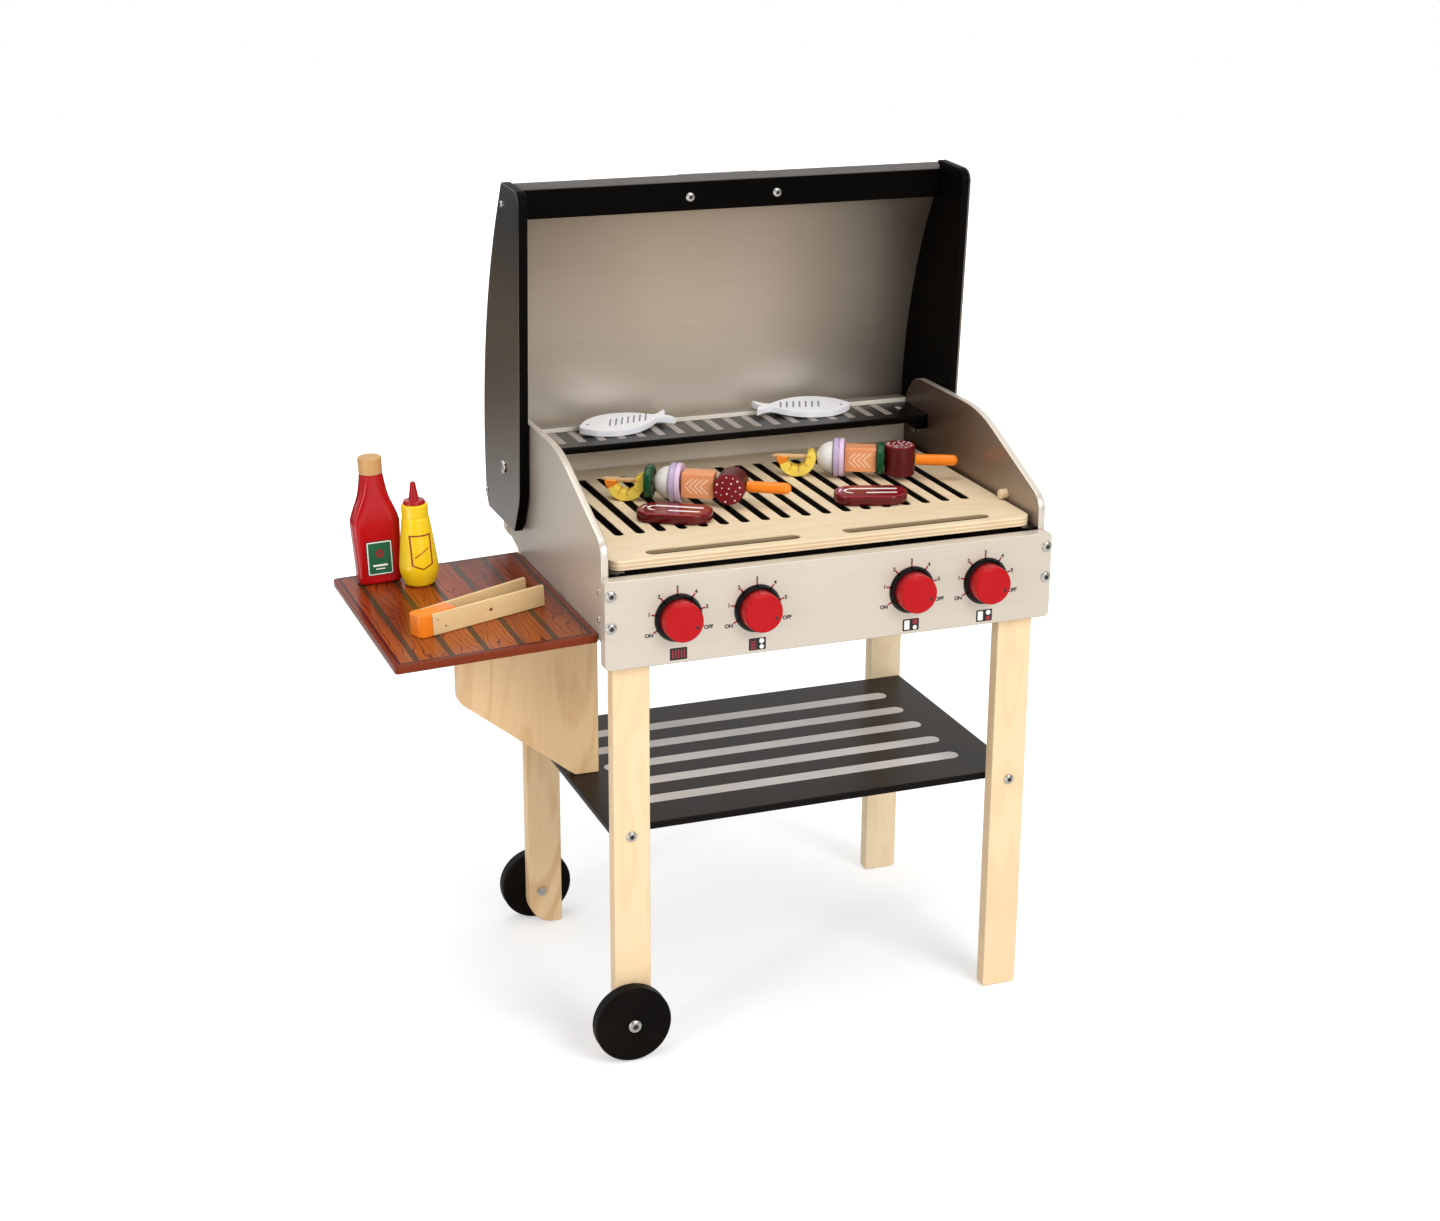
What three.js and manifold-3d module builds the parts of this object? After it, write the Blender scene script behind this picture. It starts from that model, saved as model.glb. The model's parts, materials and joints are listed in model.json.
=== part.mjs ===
// Toy barbecue grill: a firebox on four legs with a hinged hood, a sliding grate, a warming rack,
// a shelf, a side table, turning knobs, two wheels, and loose wooden food, bottles and tongs.
// Lengths are millimetres. X runs to the right, Y to the back and Z up.
import * as THREE from 'three';
import { mergeVertices } from 'three/addons/utils/BufferGeometryUtils.js';
import Module from 'manifold-3d';

const wasm = await Module();
wasm.setup();

// Clearances, edges and the fineness of arcs
const seatGap = 0.3;
const runGap = 0.3;
const edgeChamfer = 0.8;
const cutOverrun = 2;
const weldDistance = 0.0001;
const arcSagitta = 0.14;
const turnedSides = 24;
const wheelSides = 34;
const smallSides = 12;
const foodSides = 20;
const domeSteps = 4;

// Firebox panels
const panelWidth = 400;
const panelHeight = 75.5;
const panelThickness = 12;
const panelBottom = 354.2;
const panelCorner = 4;
const boxDepth = 298;
const backPanelHeight = 99;
const backPanelBottom = 382.5;
const backPanelCorner = 9;
const sidePanelThickness = 6.5;
const sidePanelSetIn = 1.15;
const sidePanelBottom = 374;
const sidePanelTop = 506.7;
const sideToeRadius = 3;
const sideShoulderLevel = 456.2;
const sideShoulderRadius = 18;
const sideSlopeRun = 119.5;
const sideCrownRadius = 144;
const sideBackRadius = 36;
const sideHeelRise = 15.5;
const sideHeelRun = 55.7;
const sideHeelRadius = 6;
const sideHeelBlend = 24;

// Legs, shelf and tray
const legWidth = 32;
const legThickness = 13;
const legTop = 420;
const legSetIn = 9.6;
const footRadius = 24.7;
const legCorner = 2;
const shelfTop = 204.9;
const shelfThickness = 6.5;
const shelfHalfWidth = 189.2;
const shelfCorner = 3;
const trayBelowCollars = 0.7;
const trayThickness = 4;

// Cooking grate, its rails and the pegs that hold it down
const grateBottom = 432.3;
const grateThickness = 8;
const grateHalfWidth = 188.5;
const grateSetBack = 17;
const grateBackGap = 1;
const grateCorner = 10;
const slotCount = 18;
const slotPitch = 18.72;
const slotWidth = 8.5;
const slotSetBack = 66;
const slotEndMargin = 30;
const grooveInner = 19.4;
const grooveOuter = 154.7;
const grooveWidth = 8;
const grooveDepth = 3;
const grooveSetBack = 15;
const grateRailWidth = 14;
const pegRadius = 4.5;
const pegLength = 7;
const pegSetBack = 71.7;
const pegRounding = 1;

// Warming rack and its cleats
const rackTop = 477.3;
const rackThickness = 6.5;
const rackDepth = 54;
const rackCorner = 3;
const rackCleatWidth = 12;
const rackCleatHeight = 7.2;
const rackCleatSetBack = 2;

// Knobs
const knobLevel = 393.2;
const knobInner = 69.2;
const knobOuter = 137.8;
const knobRadius = 18.7;
const knobHeight = 16;
const knobEdge = 2.4;
const knobStemRadius = 4;
const knobCollarRadius = 7;
const knobCollarHeight = 5;
const knobDotRadius = 1.7;
const knobDotDepth = 0.6;
const knobDotOffset = 13;
const knobOffAngle = (-22 * Math.PI) / 180;

// Wheels and their axle bolts
const wheelRadius = 33.5;
const wheelWidth = 15;
const wheelEdge = 3;
const wheelCentre = 178.5;
const wheelGap = 0.5;
const axleRadius = 3;
const axleHeadRadius = 6;
const axleHeadHeight = 2.6;
const axleNutRadius = 5.6;
const axleNutHeight = 4.5;

// Side table and its bracket
const tableLength = 167.3;
const tableFront = 18.5;
const tableDepth = 233.5;
const tableThickness = 7;
const tableCorner = 3;
const tableLevel = 380.2;
const tableTilt = 0.04;
const bracketFront = 143;
const bracketThickness = 12;
const bracketReach = 285.5;
const bracketDrop = 83;
const bracketToe = 182.5;
const bracketHeel = 161;
const bracketCorner = 10;

// Hood: both cheeks, the bent skin, the rails between the cheeks and the handle. What is ahead
// or behind is measured from the hinge
const hingeFromBack = 40.7;
const hingeLevel = 457.9;
const cheekGap = 0.4;
const cheekThickness = 8.4;
const hoodCurveRadius = 455.6;
const hoodCurveOffset = 389.7;
const cheekTop = 711;
const cheekTopBackAhead = 9.8;
const cheekTopBackRadius = 4;
const cheekTopFrontAhead = 62.7;
const cheekTopDrop = 2;
const cheekTopFrontRadius = 11;
const cheekCurveTop = 697;
const cheekBottom = 405.5;
const cheekBottomAhead = 27.4;
const cheekBottomRadius = 6;
const cheekChinAhead = 46;
const cheekChinLevel = 439;
const cheekChinRadius = 25;
const cheekHeelBehind = 56.7;
const cheekHeelRadius = 5;
const cheekCurveBottom = 417;
const skinInset = 13.4;
const skinThickness = 3;
const skinBottom = 412;
const skinEndGap = 0.4;
const skinSteps = 20;
const cheekSteps = 14;
const frontRailAhead = 17.3;
const frontRailThickness = 15;
const frontRailBottom = 678.5;
const frontRailTop = 709.2;
const frontRailRounding = 5.5;
const frontRailShoulder = 696.5;
const frontRailCrownRun = 6.8;
const backRailThickness = 7.5;
const backRailHeight = 16;
const handleHalfWidth = 51;
const handleTopHalf = 39;
const handleStand = 32;
const handleFootHeight = 12;
const handleGripHalf = 33;
const handleGripDepth = 17;
const handleBottom = 678.8;
const handleHeight = 25;
const handleRounding = 10;
const handleChamfer = 3;
const hingeBoltRadius = 2.6;
const hingeHeadRadius = 6;
const hingeHeadHeight = 2.4;
const hingeNutRadius = 4.6;
const hingeNutHeight = 4;

// Kebabs: a skewer with a round handle, and what it carries
const skewerRadius = 2;
const skewerTipLength = 5;
const skewerPointRadius = 0.8;
const skewerHandleRadius = 5;
const skewerHandleLength = 38.5;
const foodBoreGap = 0.3;
const foodGap = 0.3;
const foodEdge = 0.8;
const shrimpRadius = 17.4;
const shrimpInnerRadius = 7.4;
const shrimpThickness = 13.5;
const shrimpTailAngle = (178 * Math.PI) / 180;
const shrimpHeadAngle = (395 * Math.PI) / 180;
const pepperRadius = 14.5;
const pepperThickness = 6.4;
const mushroomRadius = 14.6;
const mushroomHeight = 15.2;
const onionRadius = 17.4;
const onionThickness = 9.6;
const onionGroove = 1.2;
const salmonLength = 28.6;
const salmonHeight = 22;
const salmonDepth = 17.6;
const salmonCorner = 2;
const sausageRadius = 13.6;
const sausageLength = 27;

// Where each kebab's skewer starts, to the right of the middle and ahead of the rack, how it is
// turned on the grate, and the order of its food
const kebabOneRight = -140;
const kebabOneAhead = 38.7;
const kebabTwoRight = 28;
const kebabTwoAhead = 18.7;
const kebabs = [
  {
    tip: { right: kebabOneRight, ahead: kebabOneAhead },
    turn: (-30.9 * Math.PI) / 180,
    sausageRoll: Math.PI / 2,
    foods: ['shrimp', 'pepper', 'mushroom', 'onion', 'salmon', 'sausage'],
  },
  {
    tip: { right: kebabTwoRight, ahead: kebabTwoAhead },
    turn: (-25.5 * Math.PI) / 180,
    sausageRoll: 0,
    foods: ['shrimp', 'mushroom', 'onion', 'salmon', 'pepper', 'sausage'],
  },
];

// Steaks, placed to the right of the middle and ahead of the rack
const steakLength = 64;
const steakWidth = 36;
const steakThickness = 9;
const steakChamfer = 1.5;
const steakSmallRadius = 14;
const steakLargeRadius = 17.5;
const steakOneRight = -101;
const steakOneAhead = 119.7;
const steakTwoRight = 77.5;
const steakTwoAhead = 125.7;
const steaks = [
  { right: steakOneRight, ahead: steakOneAhead, turn: (-30 * Math.PI) / 180 },
  { right: steakTwoRight, ahead: steakTwoAhead, turn: (-17 * Math.PI) / 180 },
];

// Fish that lean from the rack onto the back panel
const fishLength = 97;
const fishWidth = 39;
const fishThickness = 6;
const fishChamfer = 0.8;
const fishTailWidth = 24;
const fishTailNeck = 7;
const fishOnRack = 22.3;
const fish = [
  { x: -91, rise: 20.5, turn: (9 * Math.PI) / 180, facing: 1 },
  { x: 78, rise: 21.5, turn: (-9 * Math.PI) / 180, facing: -1 },
];

// Bottles on the side table, measured from its top face and its back edge
const ketchup = {
  x: -131.5,
  ahead: 24,
  baseHalfWidth: 18.4,
  shoulderHalfWidth: 20.8,
  halfDepth: 10,
  shoulderLevel: 55,
  slopeHalfWidth: 17.3,
  slopeLevel: 67,
  neckHalfWidth: 12.4,
  neckLevel: 81,
  capRadius: 10.1,
  capLevel: 97,
  capTop: 112,
  capRounding: 1.5,
};
const mustard = {
  x: -100.5,
  ahead: 45,
  baseRadius: 11.5,
  baseEdge: 2,
  bellyRadius: 16.9,
  bellyLevel: 15,
  shoulderRadius: 11.8,
  shoulderLevel: 60,
  collarRadius: 10.6,
  collarTop: 71.5,
  capRadius: 9.2,
  capTop: 75,
  nozzleRadius: 4.3,
  nozzleTipRadius: 2.4,
  nozzleTop: 91,
};

// Tongs: two thin arms on a wedge-shaped block, measured from the side table's front edge
const tongs = {
  x: -125.5,
  behind: 63.5,
  turn: (19.2 * Math.PI) / 180,
  splay: (2.55 * Math.PI) / 180,
  armLength: 107,
  armThickness: 3,
  armHeight: 18,
  blockBack: 12,
  blockFront: 24,
  blockHeight: 18.6,
  blockHalfWidth: 6.6,
  blockRadius: 6,
};

// Places worked out from the sizes above
const panelHalf = panelWidth / 2;
const panelTop = panelBottom + panelHeight;
const sideOuter = panelHalf - sidePanelSetIn;
const sideInner = sideOuter - sidePanelThickness;
const boxFront = panelThickness + seatGap;
const backPanelFront = boxDepth - panelThickness;
const boxBack = backPanelFront - seatGap;
const legOuter = panelHalf - legSetIn;
const legInner = legOuter - legWidth;
const legBackFront = boxBack - legThickness;
const grateTop = grateBottom + grateThickness;
const grateFront = grateSetBack;
const grateBack = backPanelFront - grateBackGap;
const slotLength = grateBack - slotEndMargin - grateFront - slotSetBack;
const insideHalf = sideInner - seatGap;
const rackBack = boxBack;
const rackFront = rackBack - rackDepth;
const rackBottom = rackTop - rackThickness;
const cheekInner = panelHalf + cheekGap;
const cheekOuter = cheekInner + cheekThickness;
const hingeSetBack = boxDepth - hingeFromBack;
const hoodCurveCentre = hingeSetBack - hoodCurveOffset;
const frontRailFace = hingeSetBack - frontRailAhead;
const fishSetBack = rackFront + fishOnRack;
const wheelFrontInner = boxFront - wheelGap;
const wheelBackInner = boxBack + wheelGap;
const kebabAxis = onionRadius + seatGap;
const backPanelTop = backPanelBottom + backPanelHeight;
const trayTop = knobLevel - knobCollarRadius - trayBelowCollars;

// Finishes
const finishes = {
  silver: { color: 0xc9c2b6, roughness: 0.42, metalness: 0.55 },
  black: { color: 0x15130f, roughness: 0.35, metalness: 0 },
  birch: { color: 0xecd6ae, roughness: 0.6, metalness: 0 },
  steel: { color: 0x9a938a, roughness: 0.35, metalness: 0.85 },
  screw: { color: 0xc4c4c4, roughness: 0.25, metalness: 1 },
  table: { color: 0x9a4f2c, roughness: 0.5, metalness: 0 },
  red: { color: 0xd01818, roughness: 0.35, metalness: 0 },
  yellow: { color: 0xf4c80c, roughness: 0.35, metalness: 0 },
  orange: { color: 0xf08a1e, roughness: 0.45, metalness: 0 },
  shrimp: { color: 0xeccf52, roughness: 0.5, metalness: 0 },
  green: { color: 0x0c6e3a, roughness: 0.45, metalness: 0 },
  white: { color: 0xf2f2ee, roughness: 0.4, metalness: 0 },
  lilac: { color: 0xcfb0cf, roughness: 0.45, metalness: 0 },
  salmon: { color: 0xee9a6c, roughness: 0.45, metalness: 0 },
  meat: { color: 0x6e1620, roughness: 0.4, metalness: 0 },
};

// Closed outline whose corners [x, y, radius] are rounded by tangent arcs
function roundedOutline(corners) {
  const count = corners.length;
  const points = [];
  corners.forEach(([x, y, radius = 0], index) => {
    const corner = new THREE.Vector2(x, y);
    if (radius === 0) {
      points.push(corner);
      return;
    }
    const before = corners[(index + count - 1) % count];
    const after = corners[(index + 1) % count];
    const back = new THREE.Vector2(before[0], before[1]).sub(corner).normalize();
    const ahead = new THREE.Vector2(after[0], after[1]).sub(corner).normalize();
    const half = Math.acos(THREE.MathUtils.clamp(back.dot(ahead), -1, 1)) / 2;
    const start = back.clone().multiplyScalar(radius / Math.tan(half)).add(corner);
    const middle = back.clone().add(ahead).normalize();
    const centre = middle.multiplyScalar(radius / Math.sin(half)).add(corner);
    const sweep = (Math.PI - 2 * half) * Math.sign(ahead.cross(back));
    const stepAngle = 2 * Math.acos(1 - Math.min(arcSagitta / radius, 0.25));
    const steps = Math.max(2, Math.ceil(Math.abs(sweep) / stepAngle));
    for (let step = 0; step <= steps; step += 1) {
      points.push(start.clone().rotateAround(centre, (sweep * step) / steps));
    }
  });
  return points;
}

// Corners of a rectangle, all rounded alike
function rectangle(left, bottom, right, top, radius) {
  return [
    [left, bottom, radius],
    [right, bottom, radius],
    [right, top, radius],
    [left, top, radius],
  ];
}

// Round hole or disc outline
function circle(x, y, radius, sides = smallSides) {
  const points = [];
  for (let side = 0; side < sides; side += 1) {
    const angle = (2 * Math.PI * side) / sides;
    points.push(new THREE.Vector2(x + radius * Math.cos(angle), y + radius * Math.sin(angle)));
  }
  return points;
}

// Slab of the given thickness above z = 0, with its edges chamfered
function slab(outline, thickness, holes = [], chamfer = edgeChamfer) {
  const shape = new THREE.Shape(outline);
  shape.holes = holes.map((hole) => new THREE.Path(hole));
  const geometry = new THREE.ExtrudeGeometry(shape, {
    depth: thickness - 2 * chamfer,
    bevelEnabled: true,
    bevelThickness: chamfer,
    bevelSize: chamfer,
    bevelOffset: -chamfer,
    bevelSegments: 1,
  });
  return geometry.translate(0, 0, chamfer);
}

// Slab standing across the grill: its outline is X and Z, its front face at the given Y
function crossBoard(outline, thickness, front, holes, chamfer) {
  const geometry = slab(outline, thickness, holes, chamfer);
  return geometry.rotateX(Math.PI / 2).translate(0, front + thickness, 0);
}

// Slab standing along the grill: its outline is Y and Z, its left face at the given X
function sideBoard(outline, thickness, left, holes, chamfer) {
  const geometry = slab(outline, thickness, holes, chamfer);
  return geometry.rotateX(Math.PI / 2).rotateZ(Math.PI / 2).translate(left, 0, 0);
}

// Turned piece about the Y axis from [radius, height] pairs
function turned(profile, sides = turnedSides) {
  const points = profile.map(([radius, height]) => new THREE.Vector2(radius, height));
  return new THREE.LatheGeometry(points, sides);
}

// One closed body: shared corners welded, slivers dropped and faces pointing out
function weld(geometry) {
  geometry.deleteAttribute('normal');
  geometry.deleteAttribute('uv');
  const merged = mergeVertices(geometry, weldDistance);
  const corners = merged.index.array;
  const places = merged.attributes.position;
  const faces = [];
  const [a, b, c] = [new THREE.Vector3(), new THREE.Vector3(), new THREE.Vector3()];
  let volume = 0;
  for (let face = 0; face < corners.length; face += 3) {
    const [i, j, k] = corners.slice(face, face + 3);
    if (i === j || j === k || k === i) continue;
    a.fromBufferAttribute(places, i);
    b.fromBufferAttribute(places, j);
    c.fromBufferAttribute(places, k);
    volume += a.dot(b.clone().cross(c));
    faces.push([i, j, k]);
  }
  const outward = faces.map(([i, j, k]) => (volume < 0 ? [i, k, j] : [i, j, k]));
  merged.setIndex(outward.flat());
  return merged;
}

function toSolid(geometry) {
  const welded = weld(geometry);
  return new wasm.Manifold(
    new wasm.Mesh({
      numProp: 3,
      vertProperties: Float32Array.from(welded.attributes.position.array),
      triVerts: Uint32Array.from(welded.index.array),
    }),
  );
}

function fromSolid(solid) {
  const mesh = solid.getMesh();
  const geometry = new THREE.BufferGeometry();
  geometry.setAttribute('position', new THREE.BufferAttribute(mesh.vertProperties, 3));
  geometry.setIndex(new THREE.BufferAttribute(mesh.triVerts, 1));
  return geometry;
}

function cut(geometry, cutters) {
  const solid = cutters.reduce((rest, cutter) => rest.subtract(toSolid(cutter)), toSolid(geometry));
  return fromSolid(solid);
}

const grill = new THREE.Group();
const hood = new THREE.Group();
const grateGroup = new THREE.Group();
const tableGroup = new THREE.Group();
const rackGroup = new THREE.Group();
grill.add(hood, grateGroup, tableGroup, rackGroup);

// The table tips down to the left, clear of the side panel's outer face
tableGroup.position.set(-(sideOuter + seatGap + tableThickness * Math.sin(tableTilt)), 0, tableLevel);
tableGroup.rotation.y = -tableTilt;
grateGroup.position.z = grateTop;

function add(name, geometry, finish, parent = grill) {
  const mesh = new THREE.Mesh(weld(geometry), new THREE.MeshStandardMaterial(finishes[finish]));
  mesh.name = name;
  parent.add(mesh);
  return mesh;
}

function knobCentres() {
  return [-knobOuter, -knobInner, knobInner, knobOuter];
}

function controlPanel() {
  const outline = roundedOutline(rectangle(-panelHalf, panelBottom, panelHalf, panelTop, panelCorner));
  const bores = knobCentres().map((x) => circle(x, knobLevel, knobStemRadius + runGap));
  return crossBoard(outline, panelThickness, 0, bores);
}

function backPanel() {
  const outline = roundedOutline(
    rectangle(-panelHalf, backPanelBottom, panelHalf, backPanelTop, backPanelCorner),
  );
  return crossBoard(outline, panelThickness, backPanelFront);
}

// Side panel: a sloping shoulder in front, a long crown, a round back corner and a rising heel
function sidePanel(left) {
  const outline = roundedOutline([
    [boxFront, sidePanelBottom, sideToeRadius],
    [boxBack - sideHeelRun, sidePanelBottom, sideHeelBlend],
    [boxBack, sidePanelBottom + sideHeelRise, sideHeelRadius],
    [boxBack, sidePanelTop, sideBackRadius],
    [boxFront + sideSlopeRun, sidePanelTop, sideCrownRadius],
    [boxFront, sideShoulderLevel, sideShoulderRadius],
  ]);
  const bolt = circle(hingeSetBack, hingeLevel, hingeBoltRadius + runGap);
  return sideBoard(outline, sidePanelThickness, left, [bolt]);
}

// Tray that closes the firebox from below, notched round the four legs
function fireboxTray() {
  const notchInner = legInner - seatGap;
  const frontNotch = boxFront + legThickness + seatGap;
  const backNotch = legBackFront - seatGap;
  const outline = roundedOutline([
    [-notchInner, boxFront],
    [notchInner, boxFront],
    [notchInner, frontNotch],
    [insideHalf, frontNotch],
    [insideHalf, backNotch],
    [notchInner, backNotch],
    [notchInner, boxBack],
    [-notchInner, boxBack],
    [-notchInner, backNotch],
    [-insideHalf, backNotch],
    [-insideHalf, frontNotch],
    [-notchInner, frontNotch],
  ]);
  return slab(outline, trayThickness).translate(0, 0, trayTop - trayThickness);
}

// Leg: the wheel side has its outer foot rounded off and a bore for the axle bolt
function leg(side, front) {
  const [inner, outer] = [side * legInner, side * legOuter];
  const outerFoot = side < 0 ? footRadius : legCorner;
  const corners = [
    [inner, 0, legCorner],
    [outer, 0, outerFoot],
    [outer, legTop, legCorner],
    [inner, legTop, legCorner],
  ];
  const outline = roundedOutline(side < 0 ? corners.reverse() : corners);
  const bores = side < 0 ? [circle(-wheelCentre, wheelRadius, axleRadius + runGap)] : [];
  return crossBoard(outline, legThickness, front, bores);
}

function lowerShelf() {
  const front = boxFront + legThickness + seatGap;
  const back = legBackFront - seatGap;
  const outline = roundedOutline(rectangle(-shelfHalfWidth, front, shelfHalfWidth, back, shelfCorner));
  return slab(outline, shelfThickness).translate(0, 0, shelfTop - shelfThickness);
}

function grateRail(side) {
  const [inner, outer] = [side * (insideHalf - grateRailWidth), side * insideHalf];
  const bottom = legTop + seatGap;
  const height = grateBottom - seatGap - bottom;
  const outline = roundedOutline(
    rectangle(Math.min(inner, outer), boxFront, Math.max(inner, outer), boxBack, 0),
  );
  return slab(outline, height).translate(0, 0, bottom);
}

// Long hole with round ends along Y
function slotOutline(x, front, length, width) {
  return roundedOutline(rectangle(x - width / 2, front, x + width / 2, front + length, width / 2));
}

// Grate: a board pierced by a row of long slots, with two finger grooves routed in front of them
function cookingGrate() {
  const outline = roundedOutline(
    rectangle(-grateHalfWidth, grateFront, grateHalfWidth, grateBack, grateCorner),
  );
  const board = slab(outline, grateThickness).translate(0, 0, -grateThickness);
  const slots = [];
  for (let slot = 0; slot < slotCount; slot += 1) {
    const x = (slot - (slotCount - 1) / 2) * slotPitch;
    const hole = slotOutline(x, grateFront + slotSetBack, slotLength, slotWidth);
    const cutter = slab(hole, grateThickness + 2 * cutOverrun, [], 0);
    slots.push(cutter.translate(0, 0, -grateThickness - cutOverrun));
  }
  const grooves = [-1, 1].map((side) => {
    const [near, far] = [side * grooveInner, side * grooveOuter].sort((a, b) => a - b);
    const front = grateFront + grooveSetBack - grooveWidth / 2;
    const groove = roundedOutline(rectangle(near, front, far, front + grooveWidth, grooveWidth / 2));
    return slab(groove, grooveDepth + cutOverrun, [], 0).translate(0, 0, -grooveDepth);
  });
  return cut(board, [...slots, ...grooves]);
}

// Peg just above the grate's edge, standing in from a side panel
function gratePeg(side) {
  const profile = [
    [0, 0],
    [pegRadius, 0],
    [pegRadius, pegLength - pegRounding],
    [pegRadius - pegRounding, pegLength],
    [0, pegLength],
  ];
  const geometry = turned(profile, smallSides).rotateZ((side * Math.PI) / 2);
  return geometry.translate(side * insideHalf, pegSetBack, grateTop + seatGap + pegRadius);
}

function warmingRack() {
  const outline = roundedOutline(rectangle(-insideHalf, rackFront, insideHalf, rackBack, rackCorner));
  return slab(outline, rackThickness).translate(0, 0, rackBottom);
}

function rackCleat(side) {
  const [inner, outer] = [side * (insideHalf - rackCleatWidth), side * insideHalf];
  const front = rackFront + rackCleatSetBack;
  const outline = roundedOutline(
    rectangle(Math.min(inner, outer), front, Math.max(inner, outer), rackBack, 0),
  );
  const bottom = rackBottom - seatGap - rackCleatHeight;
  return slab(outline, rackCleatHeight).translate(0, 0, bottom);
}

// Knob: a round cap in front of the panel, a stem through it and a collar behind it
function knob(x) {
  const capBack = -seatGap;
  const capFront = capBack - knobHeight;
  const collarFront = panelThickness + seatGap;
  const profile = [[0, capFront]];
  for (let step = 0; step <= 2; step += 1) {
    const angle = (step * Math.PI) / 4;
    const radius = knobRadius - knobEdge + knobEdge * Math.sin(angle);
    profile.push([radius, capFront + knobEdge - knobEdge * Math.cos(angle)]);
  }
  profile.push(
    [knobRadius, capBack],
    [knobStemRadius, capBack],
    [knobStemRadius, collarFront],
    [knobCollarRadius, collarFront],
    [knobCollarRadius, collarFront + knobCollarHeight],
    [0, collarFront + knobCollarHeight],
  );
  const dot = turned(
    [
      [0, capFront - cutOverrun],
      [knobDotRadius, capFront - cutOverrun],
      [knobDotRadius, capFront + knobDotDepth],
      [0, capFront + knobDotDepth],
    ],
    smallSides / 2,
  ).translate(knobDotOffset * Math.cos(knobOffAngle), 0, knobDotOffset * Math.sin(knobOffAngle));
  return cut(turned(profile), [dot]).translate(x, 0, knobLevel);
}

// Wheel with rounded rims and a bore, its front face at the given Y
function wheel(front) {
  const bore = axleRadius + runGap;
  const profile = [[bore, 0]];
  const rim = [0, 1, 2].map((step) => (step * Math.PI) / 4);
  rim.forEach((angle) => {
    const radius = wheelRadius - wheelEdge + wheelEdge * Math.sin(angle);
    profile.push([radius, wheelEdge - wheelEdge * Math.cos(angle)]);
  });
  rim.reverse().forEach((angle) => {
    const radius = wheelRadius - wheelEdge + wheelEdge * Math.sin(angle);
    profile.push([radius, wheelWidth - wheelEdge + wheelEdge * Math.cos(angle)]);
  });
  profile.push([bore, wheelWidth], [bore, 0]);
  return turned(profile, wheelSides).translate(-wheelCentre, front, wheelRadius);
}

// Bolt along Y: a domed head, a shank of the given length and a nut on its end
function bolt(radius, shank, headRadius, headHeight, nutRadius, nutHeight) {
  const nutFront = shank + seatGap;
  return turned(
    [
      [0, -headHeight],
      [headRadius / 2, -headHeight],
      [headRadius, -headHeight / 3],
      [headRadius, 0],
      [radius, 0],
      [radius, nutFront],
      [nutRadius, nutFront],
      [nutRadius, nutFront + nutHeight],
      [0, nutFront + nutHeight],
    ],
    smallSides,
  );
}

// Axle bolt: its head outside the front wheel, or on the front face of the back leg
function axleBolt(headFace, shank) {
  const geometry = bolt(axleRadius, shank, axleHeadRadius, axleHeadHeight, axleNutRadius, axleNutHeight);
  return geometry.translate(-wheelCentre, headFace, wheelRadius);
}

function hingeBolt(side) {
  const headFace = cheekOuter + seatGap;
  const shank = headFace - sideInner;
  const geometry = bolt(
    hingeBoltRadius, shank, hingeHeadRadius, hingeHeadHeight, hingeNutRadius, hingeNutHeight,
  );
  return geometry
    .rotateZ((side * Math.PI) / 2)
    .translate(side * headFace, hingeSetBack, hingeLevel);
}

function sideTable() {
  const outline = roundedOutline(
    rectangle(-tableLength, tableFront, 0, tableFront + tableDepth, tableCorner),
  );
  return slab(outline, tableThickness).translate(0, 0, -tableThickness);
}

// Level of the tilted table's underside above the given X
function tableUnderside(x) {
  const fromEdge = x - tableGroup.position.x;
  return tableLevel + fromEdge * Math.tan(tableTilt) - tableThickness / Math.cos(tableTilt);
}

// Bracket: one board from the shelf up to the table, with a slanting lower edge
function tableBracket() {
  const foot = shelfTop + seatGap;
  const shoulder = tableUnderside(-sideOuter) - seatGap;
  const outline = roundedOutline([
    [-bracketToe, foot],
    [-bracketHeel, foot],
    [-bracketHeel, shoulder],
    [-sideOuter, shoulder],
    [-bracketReach, tableUnderside(-bracketReach) - seatGap],
    [-bracketReach, tableUnderside(-bracketReach) - bracketDrop, bracketCorner],
  ]);
  return crossBoard(outline, bracketThickness, bracketFront);
}

// Point of the hood's back curve, at the given radius and height
function hoodCurve(radius, level) {
  const rise = level - hingeLevel;
  return [hoodCurveCentre + Math.sqrt(radius * radius - rise * rise), level];
}

function hoodCurvePoints(radius, from, to, steps) {
  const points = [];
  for (let step = 0; step <= steps; step += 1) {
    points.push(hoodCurve(radius, from + ((to - from) * step) / steps));
  }
  return points;
}

function hoodCheek(left) {
  const outline = roundedOutline([
    [hingeSetBack - cheekBottomAhead, cheekBottom, cheekBottomRadius],
    [hingeSetBack + cheekHeelBehind, cheekBottom, cheekHeelRadius],
    ...hoodCurvePoints(hoodCurveRadius, cheekCurveBottom, cheekCurveTop, cheekSteps),
    [hingeSetBack - cheekTopBackAhead, cheekTop, cheekTopBackRadius],
    [hingeSetBack - cheekTopFrontAhead, cheekTop - cheekTopDrop, cheekTopFrontRadius],
    [hingeSetBack - cheekChinAhead, cheekChinLevel, cheekChinRadius],
  ]);
  const bore = circle(hingeSetBack, hingeLevel, hingeBoltRadius + runGap);
  return sideBoard(outline, cheekThickness, left, [bore], edgeChamfer);
}

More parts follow.
